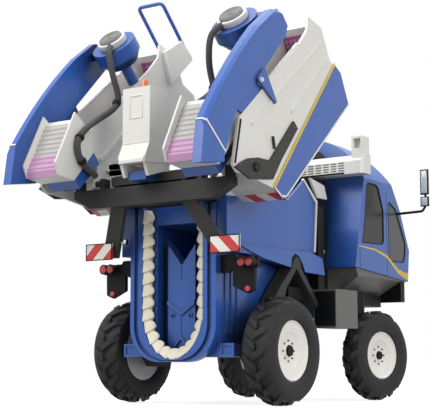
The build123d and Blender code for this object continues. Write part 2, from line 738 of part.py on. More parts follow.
# Air intake across the back of the cab, with a short stack that opens rearwards
intake_rear = cab_nose - 54.6
intake_front = cab_nose - 47.1
intake_outline = [
    (intake_rear, intake_bottom), (intake_rear, intake_bottom + 5.6),
    (intake_rear + 2.4, intake_bottom + 8.4), (intake_front, intake_bottom + 8.8),
    (intake_front, intake_bottom)]
with BuildPart() as air_intake:
    add(slab(intake_outline, side_plane(-intake_half), 2 * intake_half))
    chamfer(air_intake.edges().filter_by(Axis.Z).group_by(Axis.Y)[0], 1.4)
    add(block((intake_half - 6, intake_rear + 1.2, intake_bottom + 4),
              (intake_half - 0.6, intake_front, stack_top)))
    add(block((intake_half - 5, intake_rear + 1, stack_top - 5.4),
              (intake_half - 1.6, intake_rear + 4, stack_top - 1)),
        mode=Mode.SUBTRACT)
    add(cab_outer, mode=Mode.SUBTRACT)
keep(air_intake.part, "air_intake")

# Dark bay between the head and the cab
with BuildPart() as rear_deck:
    add(block((-rail_outer, upright_front, side_member_top), (rail_outer, cab_nose - 51, 96)))
    add(cab_outer, mode=Mode.SUBTRACT)
    add(cab_tray.part, mode=Mode.SUBTRACT)
    add(air_intake.part, mode=Mode.SUBTRACT)
keep(rear_deck.part, "rear_deck")

# Boxes between the wheels
box_inner = side_member_outer + seat_gap
box_front = wheelbase - front_tyre_radius - box_clearance
with BuildPart() as side_boxes:
    add(block((box_inner, side_box_rear, side_box_bottom),
              (box_inner + side_box_width, box_front, side_box_top)))
    chamfer(side_boxes.edges().filter_by(Axis.Z).group_by(Axis.X)[-1], 1.0)
    add(block((side_member_outer, box_front - 8, side_member_bottom),
              (box_inner, box_front - 2, side_box_top)))
    mirror(about=Plane.YZ)
    add(rear_legs.part, mode=Mode.SUBTRACT)
keep(side_boxes.part, "side_boxes")

# Hopper bin: side outline, hollowed from above, with a rear side plate that carries the pivot
bin_width = hopper_outer - hopper_inner
bin_hollow_width = bin_width - 2 * hopper_wall
bin_outline = [
    (4.6, -12.5), (9, -21.7), (75.7, -25.7), (80, -12), (76.5, -4), (80.3, 9), (74.7, 18), (70, 14.6),
    (60.7, 14.2), (5.4, 18.5), (4.6, 8)]
bin_hollow = [
    (5.9, -12.2), (9.7, -20.4), (74.8, -24.4), (78.6, -12), (75.1, -4), (79, 9), (79, 30), (5.9, 30)]
pivot_plate = [(9, 18.2), (5.4, 18.5), (-10, 8.7), (-9.4, 5), (-2.6, -3.2), (5.5, -14.3), (9, -21.7)]
inner_lug = [(6, 5), (0, pin_eye), (0, -pin_eye), (3.2, -pin_eye), (6, -6)]
# Columns: s and h of a wall bead's rear end, then of its front end
wall_beads = ((10, 11.4, 76, 4.6), (36, -1.6, 75.6, -2.6))
with BuildPart() as hopper_shell:
    add(slab(bin_outline, hopper_plane(hopper_inner), bin_width))
    add(slab(bin_hollow, hopper_plane(hopper_inner + hopper_wall), bin_hollow_width), mode=Mode.SUBTRACT)
    add(slab(pivot_plate, hopper_plane(hopper_outer - hopper_wall), hopper_wall))
    add(slab(inner_lug, hopper_plane(hopper_inner), hopper_wall))
    add(shaft(pin_eye, hopper_plane(hopper_inner), hopper_wall))
    for rear_s, rear_h, front_s, front_h in wall_beads:
        add(slab([(rear_s, rear_h), (front_s, front_h), (front_s, front_h + 1.1), (rear_s, rear_h + 1.1)],
                 hopper_plane(hopper_outer), 0.4))
    add(slab([(72.4, 12.6), (74.6, 12.6), (74.6, 15), (72.4, 15)],
             hopper_plane(hopper_inner + 0.5), bin_width - 1))
    add(shaft(pin_radius + running_gap, hopper_plane(hopper_inner - 1), bin_width + 2), mode=Mode.SUBTRACT)
keep_hopper_pair(hopper_shell.part, "hopper_shell")

# Blue band along the foot of the outer wall, round at its low corner
band_outline = [
    (5.2, -14.0), (6.6, -19.0), (9.6, -21.5), (75.6, -25.5), (79.7, -12.2), (78.1, -7.4)]
keep_hopper_pair(slab(band_outline, hopper_plane(hopper_outer), band_thick), "hopper_band")

liner_outline = [
    (5.9, -12.2), (9.7, -20.4), (74.8, -24.4), (78.6, -12), (75.1, -4), (79, 9), (78, 9), (74.1, -4),
    (77.5, -12), (74.1, -23.5), (10.3, -19.5), (6.8, -12), (6.8, 12), (5.9, 12)]
keep_hopper_pair(
    slab(liner_outline, hopper_plane(hopper_inner + hopper_wall), bin_hollow_width), "hopper_liner")

# Dark bracket at the pivot with an arm forward along the wall
bracket_outline = [
    (-10.4, 8), (-6, 6.9), (-1.7, 5.2), (3.6, 1.6), (7.6, -2.4), (9.8, -4.3), (34, -3.9), (34.3, -7.7),
    (15.9, -8.9), (6.2, -10.4), (-5.8, -1.0)]
with BuildPart() as pivot_bracket:
    add(slab(bracket_outline, hopper_plane(hopper_outer), bracket_thick))
    add(hopper_shell.part, mode=Mode.SUBTRACT)
    add(shaft(pin_radius + running_gap, hopper_plane(hopper_outer - 1), bracket_thick + 2),
        mode=Mode.SUBTRACT)
keep_hopper_pair(pivot_bracket.part, "pivot_bracket")


def rim_height(s):
    """Height of the bin's upper edge above the pivot, at a distance forward of it."""
    return 18.5 - (18.5 - 14.2) / (60.7 - 5.4) * (s - 5.4)


# Leaf duct with its outlet, the fan's volute on a suction pipe, and the strut down to the bin
duct_crown = ((-13.1, 30.6), (14, 35), (40, 36))        # ends and middle of the arched top edge
duct_outline = [
    duct_crown[2], (54, 34.2), (58, 31), (58, 24), (54, duct_foot), (33, 21.6), (5, 21.2), (-12, 14.7),
    (-13.8, 12.9), (-25.2, 21.4), duct_crown[0]]
fan_y = at(pivot_station) + fan_s


def fan_plane(height):
    """Level plane on the fan's axis, at a height above the pivot."""
    return Plane(origin=(fan_x, fan_y, pivot_z + height))


with BuildPart() as duct:
    with BuildSketch(hopper_plane(duct_inner)):
        with BuildLine():
            Polyline(*duct_outline)
            ThreePointArc(*duct_crown)
        make_face()
    extrude(amount=duct_outer - duct_inner)
    crown_edges = [edge for edge in duct.edges().group_by(Axis.X)[-1] if edge.center().Z > pivot_z + 32]
    chamfer(crown_edges, duct_bevel)
    add(prism(volute_radius, wheel_sides, fan_plane(volute_bottom), volute_height))
    add(prism(suction_radius, 12, fan_plane(rim_height(fan_s)), volute_bottom - rim_height(fan_s)))
    add(block((fan_x, pivot_station + fan_s - 1, pivot_z + volute_bottom),
              (duct_outer - 1.2, pivot_station + fan_s + 7.4, pivot_z + fan_ring_bottom - 2)))
    add(slab([(8, rim_height(8)), (26, rim_height(26)), (24, duct_foot), (6, duct_foot)],
             hopper_plane(hopper_outer - hopper_wall), 1.0))
    add(slab([(24, duct_foot), (31, duct_foot), (28.8, 8.6), (27.6, 8.6)],
             hopper_plane(hopper_outer + 0.4), 0.8))
    add(block((hopper_outer - 2, pivot_station + 24, pivot_z + duct_foot - 1.4),
              (hopper_outer + 1.2, pivot_station + 30, pivot_z + duct_foot + 0.6)))
    add(hopper_shell.part, mode=Mode.SUBTRACT)
keep_hopper_pair(duct.part, "duct")

keep_hopper_pair(prism(fan_ring_radius, wheel_sides, fan_plane(fan_ring_bottom), fan_ring_height), "fan_ring")
keep_hopper_pair(
    prism(fan_screen_radius, wheel_sides, fan_plane(fan_ring_bottom + fan_ring_height), fan_screen_height),
    "fan_screen")

# Discharge spout: channel walls and floor, the housing beneath, and a ridged belt
spout_width = spout_outer - spout_inner
with BuildPart() as spout:
    add(slab([(-17.4, 18), (-15.6, 22.6), (6.8, 30), (9, 18.5), (4.6, 12), (-12, 11)],
             hopper_plane(spout_inner), spout_width))
    add(slab([(-18, 16), (-16, 19), (9, 27), (12, 40), (-22, 40)],
             hopper_plane(spout_inner + spout_wall), spout_width - 2 * spout_wall), mode=Mode.SUBTRACT)
    add(hopper_shell.part, mode=Mode.SUBTRACT)
keep_hopper_pair(spout.part, "spout")

housing_outline = [(-11.6, 6.7), (-11.6, 10.8), (-10, 11.12), (4.6, 12), (4.6, 6.7)]
with BuildPart() as spout_housing:
    add(slab(housing_outline, hopper_plane(spout_inner), housing_outer - spout_inner))
    add(spout.part, mode=Mode.SUBTRACT)
keep_hopper_pair(spout_housing.part, "spout_housing")

belt_slope = (25.72 - 19) / (5 + 16)        # climb of the belt over its length
ridge_pitch = 2.2
with BuildPart() as spout_belt:
    add(slab([(-16.9, 17.65), (-16, 19), (5, 25.72), (5, 26.5), (-16, 19.8), (-17.6, 17.6)],
             hopper_plane(spout_inner + spout_wall), spout_width - 2 * spout_wall))
    for number in range(9):
        ridge_s = -15.4 + ridge_pitch * number
        ridge_h = 19.7 + belt_slope * (ridge_s + 16)
        add(slab([(ridge_s, ridge_h), (ridge_s + 1.1, ridge_h + 0.35), (ridge_s + 0.6, ridge_h + 0.7)],
                 hopper_plane(spout_inner + spout_wall), spout_width - 2 * spout_wall))
keep_hopper_pair(spout_belt.part, "spout_belt")

# Hydraulic hose from the fan's ring along the spout's inner wall into its housing
# Columns: X, s, h
hose_route = (
    (27.6, 45.6, 35.6), (25, 39.6, 35.6), (hose_x, 29.6, 18.6), (hose_x, -1.2, 23), (hose_x, -5.4, 14.5),
    (hose_x, -3, 9.6), (spout_inner + 0.9, -2.4, 8.8))
hose_bends = [2.2, 3.2, 4.2, 2.8, 1.6]
with BuildPart() as hose:
    hose_points = [(x, at(pivot_station) + s, pivot_z + h) for x, s, h in hose_route]
    add(bent_bar(hose_points, hose_bends, hose_radius, 6))
    add(prism(fan_ring_radius, wheel_sides, fan_plane(fan_ring_bottom), fan_ring_height), mode=Mode.SUBTRACT)
    add(spout_housing.part, mode=Mode.SUBTRACT)
keep_hopper_pair(hose.part, "hose")

# Guard rail at the front of the left hopper
guard_route = ((26.5, 79.6, 3), (26.5, guard_s, 3), (26.5, guard_s, guard_top), (39.5, guard_s, guard_top),
               (39.5, guard_s, 3), (39.5, 79.6, 3))
with BuildPart() as guard_rail:
    guard_points = [(-x, at(pivot_station) + s, pivot_z + h) for x, s, h in guard_route]
    add(bent_bar(guard_points, [2.4] * 4, guard_radius, 6))
    add(mirror(hopper_shell.part, about=Plane.YZ), mode=Mode.SUBTRACT)
keep(guard_rail.part.rotate(tip_axis, tip_rest), "guard_rail_left")
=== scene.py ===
"""Looks of a 1:32 straddle grape harvester with raised hoppers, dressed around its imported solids.

Lengths in the classes are millimetres. Stations run forward from the rear axle, and a hopper point is given
as X, s forward and h up from the hopper's pivot with the hopper lowered.
"""
import json
import logging
from dataclasses import dataclass
from enum import Enum
from math import atan2, cos, hypot, pi, radians, sin, tan
from typing import Iterable, Sequence

import bmesh
import bpy
from mathutils import Matrix, Vector


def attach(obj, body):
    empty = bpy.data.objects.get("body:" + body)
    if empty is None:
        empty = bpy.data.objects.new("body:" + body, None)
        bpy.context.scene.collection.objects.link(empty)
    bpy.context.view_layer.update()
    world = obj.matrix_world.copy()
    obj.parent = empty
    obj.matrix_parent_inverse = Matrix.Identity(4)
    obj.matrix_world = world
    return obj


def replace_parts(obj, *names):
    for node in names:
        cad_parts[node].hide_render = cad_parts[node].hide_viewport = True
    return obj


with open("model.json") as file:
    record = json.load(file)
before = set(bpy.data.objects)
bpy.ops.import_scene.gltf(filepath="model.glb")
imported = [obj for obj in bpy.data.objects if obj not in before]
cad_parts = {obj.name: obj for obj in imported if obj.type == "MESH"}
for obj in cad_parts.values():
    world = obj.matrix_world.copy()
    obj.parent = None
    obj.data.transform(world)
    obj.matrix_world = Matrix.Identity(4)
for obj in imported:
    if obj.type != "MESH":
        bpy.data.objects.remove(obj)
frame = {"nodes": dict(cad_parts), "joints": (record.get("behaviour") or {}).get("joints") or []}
log = logging.getLogger("harvester")
logging.basicConfig(level=logging.INFO, format="%(name)s: %(message)s")

MM = 0.001
PHOTO_WIDTH = 430
SENSOR_MM = 36.0
RIGHTWARD = Vector((1, 0, 0))
BACKWARD = Vector((0, -1, 0))
UPWARD = Vector((0, 0, 1))
Point = Sequence[float]


class Side(Enum):
    """Side of the machine, with the sign of its X."""

    LEFT = -1
    RIGHT = 1

    @property
    def word(self) -> str:
        """Lower-case name, as the nodes and bodies use it."""
        return self.name.lower()

    def span(self, inner: float, outer: float) -> list[float]:
        """Lowest and highest X between two distances from the machine's middle."""
        return sorted((self.value * inner, self.value * outer))


def joint(name: str) -> dict:
    """Packed joint of a name.

    Args:
        name: The joint's name.

    Returns:
        The joint's entry in the record.
    """
    return next(entry for entry in frame["joints"] if entry["name"] == name)


REAR_AXLE_Y = joint("rear_right_spin")["pos_m"][1]
TIP = Vector(joint("hopper_right_tip")["pos_m"])
TIP_ANGLE = radians(45.0)


def spot(x: float, station: float, z: float) -> Vector:
    """Point of the chassis in metres.

    Args:
        x: Millimetres to the right.
        station: Millimetres forward of the rear axle.
        z: Millimetres above the ground.

    Returns:
        The point in the shared frame.
    """
    return Vector((x * MM, REAR_AXLE_Y + station * MM, z * MM))


def tipped(x: float, s: float, h: float) -> Vector:
    """Point of a raised hopper in metres.

    Args:
        x: Millimetres to the right.
        s: Millimetres forward of the pivot, hopper lowered.
        h: Millimetres above the pivot, hopper lowered.

    Returns:
        The point in the shared frame, with the hopper raised.
    """
    c, d = cos(TIP_ANGLE), sin(TIP_ANGLE)
    return Vector((x * MM, TIP.y + (s * c - h * d) * MM, TIP.z + (s * d + h * c) * MM))


def linear(colour: str) -> tuple[float, float, float, float]:
    """Linear colour of an sRGB hex value.

    Args:
        colour: Six hex digits after a hash.

    Returns:
        Red, green, blue and alpha.
    """
    levels = [int(colour[i:i + 2], 16) / 255 for i in (1, 3, 5)]
    return (*(v / 12.92 if v <= 0.04045 else ((v + 0.055) / 1.055) ** 2.4 for v in levels), 1.0)


def add_node(tree: bpy.types.NodeTree, kind: str, settings: dict | None = None,
             **inputs: object) -> bpy.types.Node:
    """Add a node with its settings and links.

    Args:
        tree: Node tree that takes the node.
        kind: Blender's name of the node type.
        settings: Properties of the node.
        inputs: Input sockets by name, with underscores for spaces, or i and a number. A socket is linked, and
            any other value is set. A Mix node takes its two colours at 6 and 7 and gives the result at 2.

    Returns:
        The new node.
    """
    node = tree.nodes.new(kind)
    for key, value in (settings or {}).items():
        setattr(node, key, value)
    for key, value in inputs.items():
        place = int(key[1:]) if key[0] == "i" and key[1:].isdigit() else key.replace("_", " ")
        if isinstance(value, bpy.types.NodeSocket):
            tree.links.new(value, node.inputs[place])
        else:
            node.inputs[place].default_value = value
    return node


@dataclass(frozen=True)
class Finish:
    """A moulded, painted or plated surface: two close tones, a fine grain and softened edges.

    Attributes:
        name: Common name of the real material.
        colour: sRGB hex of the surface.
        shade: sRGB hex of its second tone.
        roughness: Roughness of the clean surface.
        grain_mm: Size of the grain.
        bump_mm: Height of the grain.
        tone_mm: Size of the drift between the tones.
        ior: Index of refraction.
        metallic: Share of metal.
        coat: Weight of a clear coat.
        edge_mm: Radius that edges seem to have.
        specular: Level of the surface's reflection.
        hollow_mm: Reach of the painted shade that darkens the colour in hollows, 0 for none.
        rough_spread: How far the grain moves the roughness up and down.
        coat_roughness: Roughness of the clear coat.
        slot: The record's material slot, not used.
    """

    name: str
    colour: str
    shade: str
    roughness: float
    grain_mm: float = 0.5
    bump_mm: float = 0.01
    tone_mm: float = 14.0
    ior: float = 1.5
    metallic: float = 0.0
    coat: float = 0.0
    edge_mm: float = 0.22
    specular: float = 0.5
    hollow_mm: float = 0.0
    rough_spread: float = 0.06
    coat_roughness: float = 0.12
    slot: str = ""

    def colour_socket(self, tree: bpy.types.NodeTree, coords: bpy.types.NodeSocket) -> bpy.types.NodeSocket:
        """Colour that drifts between the two tones.

        Args:
            tree: Node tree of the material.
            coords: Object coordinates.

        Returns:
            The colour socket.
        """
        drift = add_node(tree, "ShaderNodeTexNoise", Vector=coords, Scale=1 / (self.tone_mm * MM), Detail=3.0)
        return add_node(tree, "ShaderNodeMix", {"data_type": "RGBA"}, Factor=drift.outputs["Fac"],
                        i6=linear(self.colour), i7=linear(self.shade)).outputs[2]

    def material(self) -> bpy.types.Material:
        """Material of this finish, made once.

        Returns:
            The material.
        """
        found = bpy.data.materials.get(self.name)
        if found:
            return found
        made = bpy.data.materials.new(self.name)
        made.use_nodes = True
        tree = made.node_tree
        tree.nodes.clear()
        coords = add_node(tree, "ShaderNodeTexCoord").outputs["Object"]
        grain = add_node(tree, "ShaderNodeTexNoise", Vector=coords, Scale=1 / (self.grain_mm * MM),
                         Detail=4.0)
        soft = add_node(tree, "ShaderNodeBevel", {"samples": 6}, Radius=self.edge_mm * MM)
        bump = add_node(tree, "ShaderNodeBump", Height=grain.outputs["Fac"], Distance=self.bump_mm * MM,
                        Strength=1.0, Normal=soft.outputs["Normal"])
        rough = add_node(tree, "ShaderNodeMapRange", Value=grain.outputs["Fac"],
                         To_Min=max(self.roughness - self.rough_spread, 0.02),
                         To_Max=self.roughness + self.rough_spread)
        colour = self.colour_socket(tree, coords)
        # Painted shade: ambient occlusion darkens the colour in hollows and crevices
        if self.hollow_mm:
            colour = add_node(tree, "ShaderNodeAmbientOcclusion", {"samples": 4}, Color=colour,
                              Distance=self.hollow_mm * MM).outputs["Color"]
        shader = add_node(tree, "ShaderNodeBsdfPrincipled", Base_Color=colour,
                          Specular_IOR_Level=self.specular, Roughness=rough.outputs["Result"],
                          Normal=bump.outputs["Normal"], Metallic=self.metallic, IOR=self.ior,
                          Coat_Weight=self.coat, Coat_Roughness=self.coat_roughness)
        add_node(tree, "ShaderNodeOutputMaterial", Surface=shader.outputs["BSDF"])
        return made


@dataclass(frozen=True)
class StripedFinish(Finish):
    """Slanting stripes of two colours that mirror about the machine's middle.

    Attributes:
        other: sRGB hex of the second stripe.
        stripe_mm: Width of a stripe along X.
        origin_mm: Where the first stripe starts, |X| plus Z, in millimetres.
    """

    other: str = "#F2F0EA"
    stripe_mm: float = 5.0
    origin_mm: float = 0.0

    def colour_socket(self, tree: bpy.types.NodeTree, coords: bpy.types.NodeSocket) -> bpy.types.NodeSocket:
        """Stripe colour by |X| plus Z.

        Args:
            tree: Node tree of the material.
            coords: Object coordinates.

        Returns:
            The colour socket.
        """
        axes = add_node(tree, "ShaderNodeSeparateXYZ", Vector=coords)
        wide = add_node(tree, "ShaderNodeMath", {"operation": "ABSOLUTE"}, i0=axes.outputs["X"])
        run = add_node(tree, "ShaderNodeMath", {"operation": "ADD"}, i0=wide.outputs[0], i1=axes.outputs["Z"])
        start = add_node(tree, "ShaderNodeMath", {"operation": "SUBTRACT"}, i0=run.outputs[0],
                         i1=self.origin_mm * MM)
        turn = add_node(tree, "ShaderNodeMath", {"operation": "DIVIDE"}, i0=start.outputs[0],
                        i1=2 * self.stripe_mm * MM)
        part = add_node(tree, "ShaderNodeMath", {"operation": "FRACT"}, i0=turn.outputs[0])
        over = add_node(tree, "ShaderNodeMath", {"operation": "GREATER_THAN"}, i0=part.outputs[0], i1=0.5)
        return add_node(tree, "ShaderNodeMix", {"data_type": "RGBA"}, Factor=over.outputs[0],
                        i6=linear(self.colour), i7=linear(self.other)).outputs[2]


@dataclass(frozen=True)
class DottedFinish(Finish):
    """Moulded sheet with rows of paler dots.

    Attributes:
        dot: sRGB hex of the dots.
        pitch_mm: Distance between dots.
        dot_core: Radius of a dot's full colour, as a share of the pitch.
        dot_edge: Radius at which its colour ends.
    """

    dot: str = "#C48DB3"
    pitch_mm: float = 2.0
    dot_core: float = 0.34
    dot_edge: float = 0.5

    def colour_socket(self, tree: bpy.types.NodeTree, coords: bpy.types.NodeSocket) -> bpy.types.NodeSocket:
        """Dots on a square grid that follows the raised hopper.

        Args:
            tree: Node tree of the material.
            coords: Object coordinates.

        Returns:
            The colour socket.
        """
        turned = add_node(tree, "ShaderNodeMapping", Vector=coords, Rotation=(-TIP_ANGLE, 0, 0))
        cells = add_node(tree, "ShaderNodeTexVoronoi", Vector=turned.outputs["Vector"],
                         Scale=1 / (self.pitch_mm * MM), Randomness=0.0)
        edge = add_node(tree, "ShaderNodeMapRange", Value=cells.outputs["Distance"], From_Min=self.dot_core,
                        From_Max=self.dot_edge, To_Min=1.0, To_Max=0.0)
        return add_node(tree, "ShaderNodeMix", {"data_type": "RGBA"}, Factor=edge.outputs["Result"],
                        i6=linear(self.colour), i7=linear(self.dot)).outputs[2]


@dataclass(frozen=True)
class FadedFinish(Finish):
    """Colour that fades to another along the frame's Y or Z.

    Attributes:
        other: sRGB hex at the far end.
        axis: Y or Z.
        start_mm: Where the fade starts, in the shared frame.
        end_mm: Where the fade ends.
    """

    other: str = "#E2E1DC"
    axis: str = "Z"
    start_mm: float = 0.0
    end_mm: float = 1.0

    def colour_socket(self, tree: bpy.types.NodeTree, coords: bpy.types.NodeSocket) -> bpy.types.NodeSocket:
        """Colour by place along the axis.

        Args:
            tree: Node tree of the material.
            coords: Object coordinates.

        Returns:
            The colour socket.
        """
        axes = add_node(tree, "ShaderNodeSeparateXYZ", Vector=coords)
        share = add_node(tree, "ShaderNodeMapRange", {"interpolation_type": "SMOOTHSTEP"},
                         Value=axes.outputs[self.axis], From_Min=self.start_mm * MM,
                         From_Max=self.end_mm * MM)
        return add_node(tree, "ShaderNodeMix", {"data_type": "RGBA"}, Factor=share.outputs["Result"],
                        i6=linear(self.colour), i7=linear(self.other)).outputs[2]


# Sprayed gloss enamel on cast metal: even, with a faint orange peel and soft highlights; painted shade
# darkens its colour in the hollows
BLUE = Finish("blue_enamel", "#2E5EB2", "#2957A8", 0.34, 0.7, 0.006, coat=0.15, hollow_mm=12.0,
              slot="blue_paint")
# Sprayed off-white enamel: clean and slightly warm
WHITE = Finish("white_enamel", "#E6E5E0", "#E0DFD9", 0.42, 0.7, 0.006, coat=0.1, slot="white_paint")
# Unpainted ABS, matt from the mould: a warm, even cream
CREAM = Finish("cream_abs", "#FBF9F3", "#F5F2EA", 0.5, 0.35, 0.008, slot="cream_plastic")
# Yellower unpainted ABS of the conveyor scales: dull, like straw
STRAW = Finish("straw_abs", "#E6E0CD", "#DCD4BE", 0.5, 0.35, 0.01, slot="cream_plastic")
# Dark ABS from a spark-eroded mould: a fine grain that spreads the highlights
CHARCOAL = Finish("charcoal_abs", "#373736", "#30302F", 0.52, 0.3, 0.014, specular=0.25, slot="dark_frame")
# Near-black ABS of brackets, bezels and steps: so dull that only its outline shows
# The same black is painted shade on the side boxes' rear faces
BLACK_AND_SHADE = Finish("black_abs", "#161616", "#101010", 0.5, 0.3, 0.012, specular=0.15, slot="dark_frame")
# Mid grey ABS as it leaves the mould: flat and even
GREY = Finish("grey_abs", "#666665", "#5E5E5D", 0.5, 0.35, 0.01, slot="grey_plastic")
# Soft vinyl tyre, dull and a little dusty
VINYL = Finish("tyre_vinyl", "#2F2F2F", "#282828", 0.66, 0.5, 0.02, tone_mm=8.0, specular=0.25, slot="tyre")
# Smoked clear styrene: dark, smooth and reflective, paler towards the front
SMOKED = FadedFinish("smoked_styrene", "#1C1C1C", "#1C1C1C", 0.24, 1.0, 0.0, specular=0.3, slot="dark_glass",
                     other="#4E4E50", axis="Y", start_mm=62.0, end_mm=76.0, edge_mm=0.1)
# Moulded plum polypropylene sheet: waxy, with rows of paler dots
PLUM = DottedFinish("plum_polypropylene", "#93557F", "#93557F", 0.55, 0.4, 0.02, slot="purple_liner")
# Soft vinyl belt: matt pink, and a white upper end coloured pale grey as painted shade
PINK = FadedFinish("pink_vinyl", "#C596BB", "#C596BB", 0.5, 0.4, 0.01, slot="pink_belt", other="#B7B5B0",
                   axis="Z", start_mm=94.0, end_mm=95.4)
# Clear red styrene of the lamp lenses: bright, deep and glossy
RED = Finish("red_styrene", "#D2342F", "#C52A28", 0.18, 0.8, 0.01, coat=0.5, slot="red_lens")
# Clear amber styrene of the beacon: bright, deep and glossy
AMBER = Finish("amber_styrene", "#D9702F", "#CE6526", 0.2, 0.8, 0.01, coat=0.5, slot="orange_lens")
# Pad-printed yellow ink: thin, opaque and matt
YELLOW = Finish("yellow_ink", "#DDBE45", "#D6B63E", 0.5, 0.5, 0.002, edge_mm=0.05, slot="marker_board")
# Pad-printed white ink: thin, opaque and matt
WHITE_INK = Finish("white_ink", "#EFEEEA", "#E8E7E2", 0.5, 0.5, 0.002, edge_mm=0.05, slot="white_paint")
# Extruded black rubber of the hoses: a narrow sheen along the bends
RUBBER = Finish("hose_rubber", "#0F0F0F", "#161616", 0.36, 0.4, 0.01, specular=0.12, slot="hose_rubber")
# Nickel plate of the arm's knob: bright, with blurred reflections
NICKEL = Finish("nickel_plate", "#B9BBBD", "#A9ABAD", 0.24, 0.4, 0.004, metallic=1.0, slot="grey_plastic")
# Aluminised film of the mirrors: pale, smooth and glassy
SILVERED = Finish("silvered_film", "#C4CCD2", "#B8C0C8", 0.12, 1.0, 0.0, coat=0.4, slot="grey_plastic")
# Sprayed silver lacquer on the wheels' backs: pale grey with a soft sheen
SILVER = Finish("silver_lacquer", "#EDEDEA", "#E4E4E0", 0.4, 0.5, 0.006, slot="grey_plastic")
# Woven nylon of the fan screens: flat grey, with a coarser grain for a weave too fine to show
NYLON = Finish("woven_nylon", "#82827F", "#787876", 0.62, 0.35, 0.04, slot="grey_plastic")
# Printed red and white stripes: flat ink with crisp edges
STRIPES = StripedFinish("striped_print", "#CF3B3A", "#CF3B3A", 0.4, 0.6, 0.003, edge_mm=0.05,
                        slot="marker_board", origin_mm=79.8)


NODE_FINISHES: dict[str, Finish] = {
    "chassis_frame": BLACK_AND_SHADE, "rear_legs": CHARCOAL, "head_shell": BLUE, "head_panel": BLUE, "noria": STRAW,
    "side_cover": BLUE, "cover_trim": WHITE, "rear_beam": CHARCOAL, "marker_boards": STRIPES,
    "lamp_plates": BLACK_AND_SHADE, "tail_lamps": RED, "centre_hood": WHITE, "hood_block": BLUE, "beacon": AMBER,
    "cab_shell": BLUE, "cab_glass": SMOKED, "cab_tray": GREY, "front_steps": BLACK_AND_SHADE, "mirrors": BLACK_AND_SHADE,
    "air_intake": WHITE, "rear_deck": BLACK_AND_SHADE, "side_boxes": GREY,
    "tyre_rear": VINYL, "tyre_front": VINYL, "rim_rear": CREAM, "rim_front": CREAM, "knuckle": CHARCOAL,
    "hopper_shell": WHITE, "hopper_band": BLUE, "hopper_liner": PLUM, "pivot_bracket": CHARCOAL,
    "duct": BLUE, "fan_ring": WHITE, "fan_screen": GREY, "spout": WHITE, "spout_housing": BLUE,
    "spout_belt": PINK, "hose": RUBBER, "guard_rail": BLUE,
}


def dress_nodes() -> None:
    """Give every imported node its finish."""
    for name, node in frame["nodes"].items():
        base = name.removesuffix("_left").removesuffix("_right")
        node.data.materials.clear()
        node.data.materials.append(NODE_FINISHES[base].material())


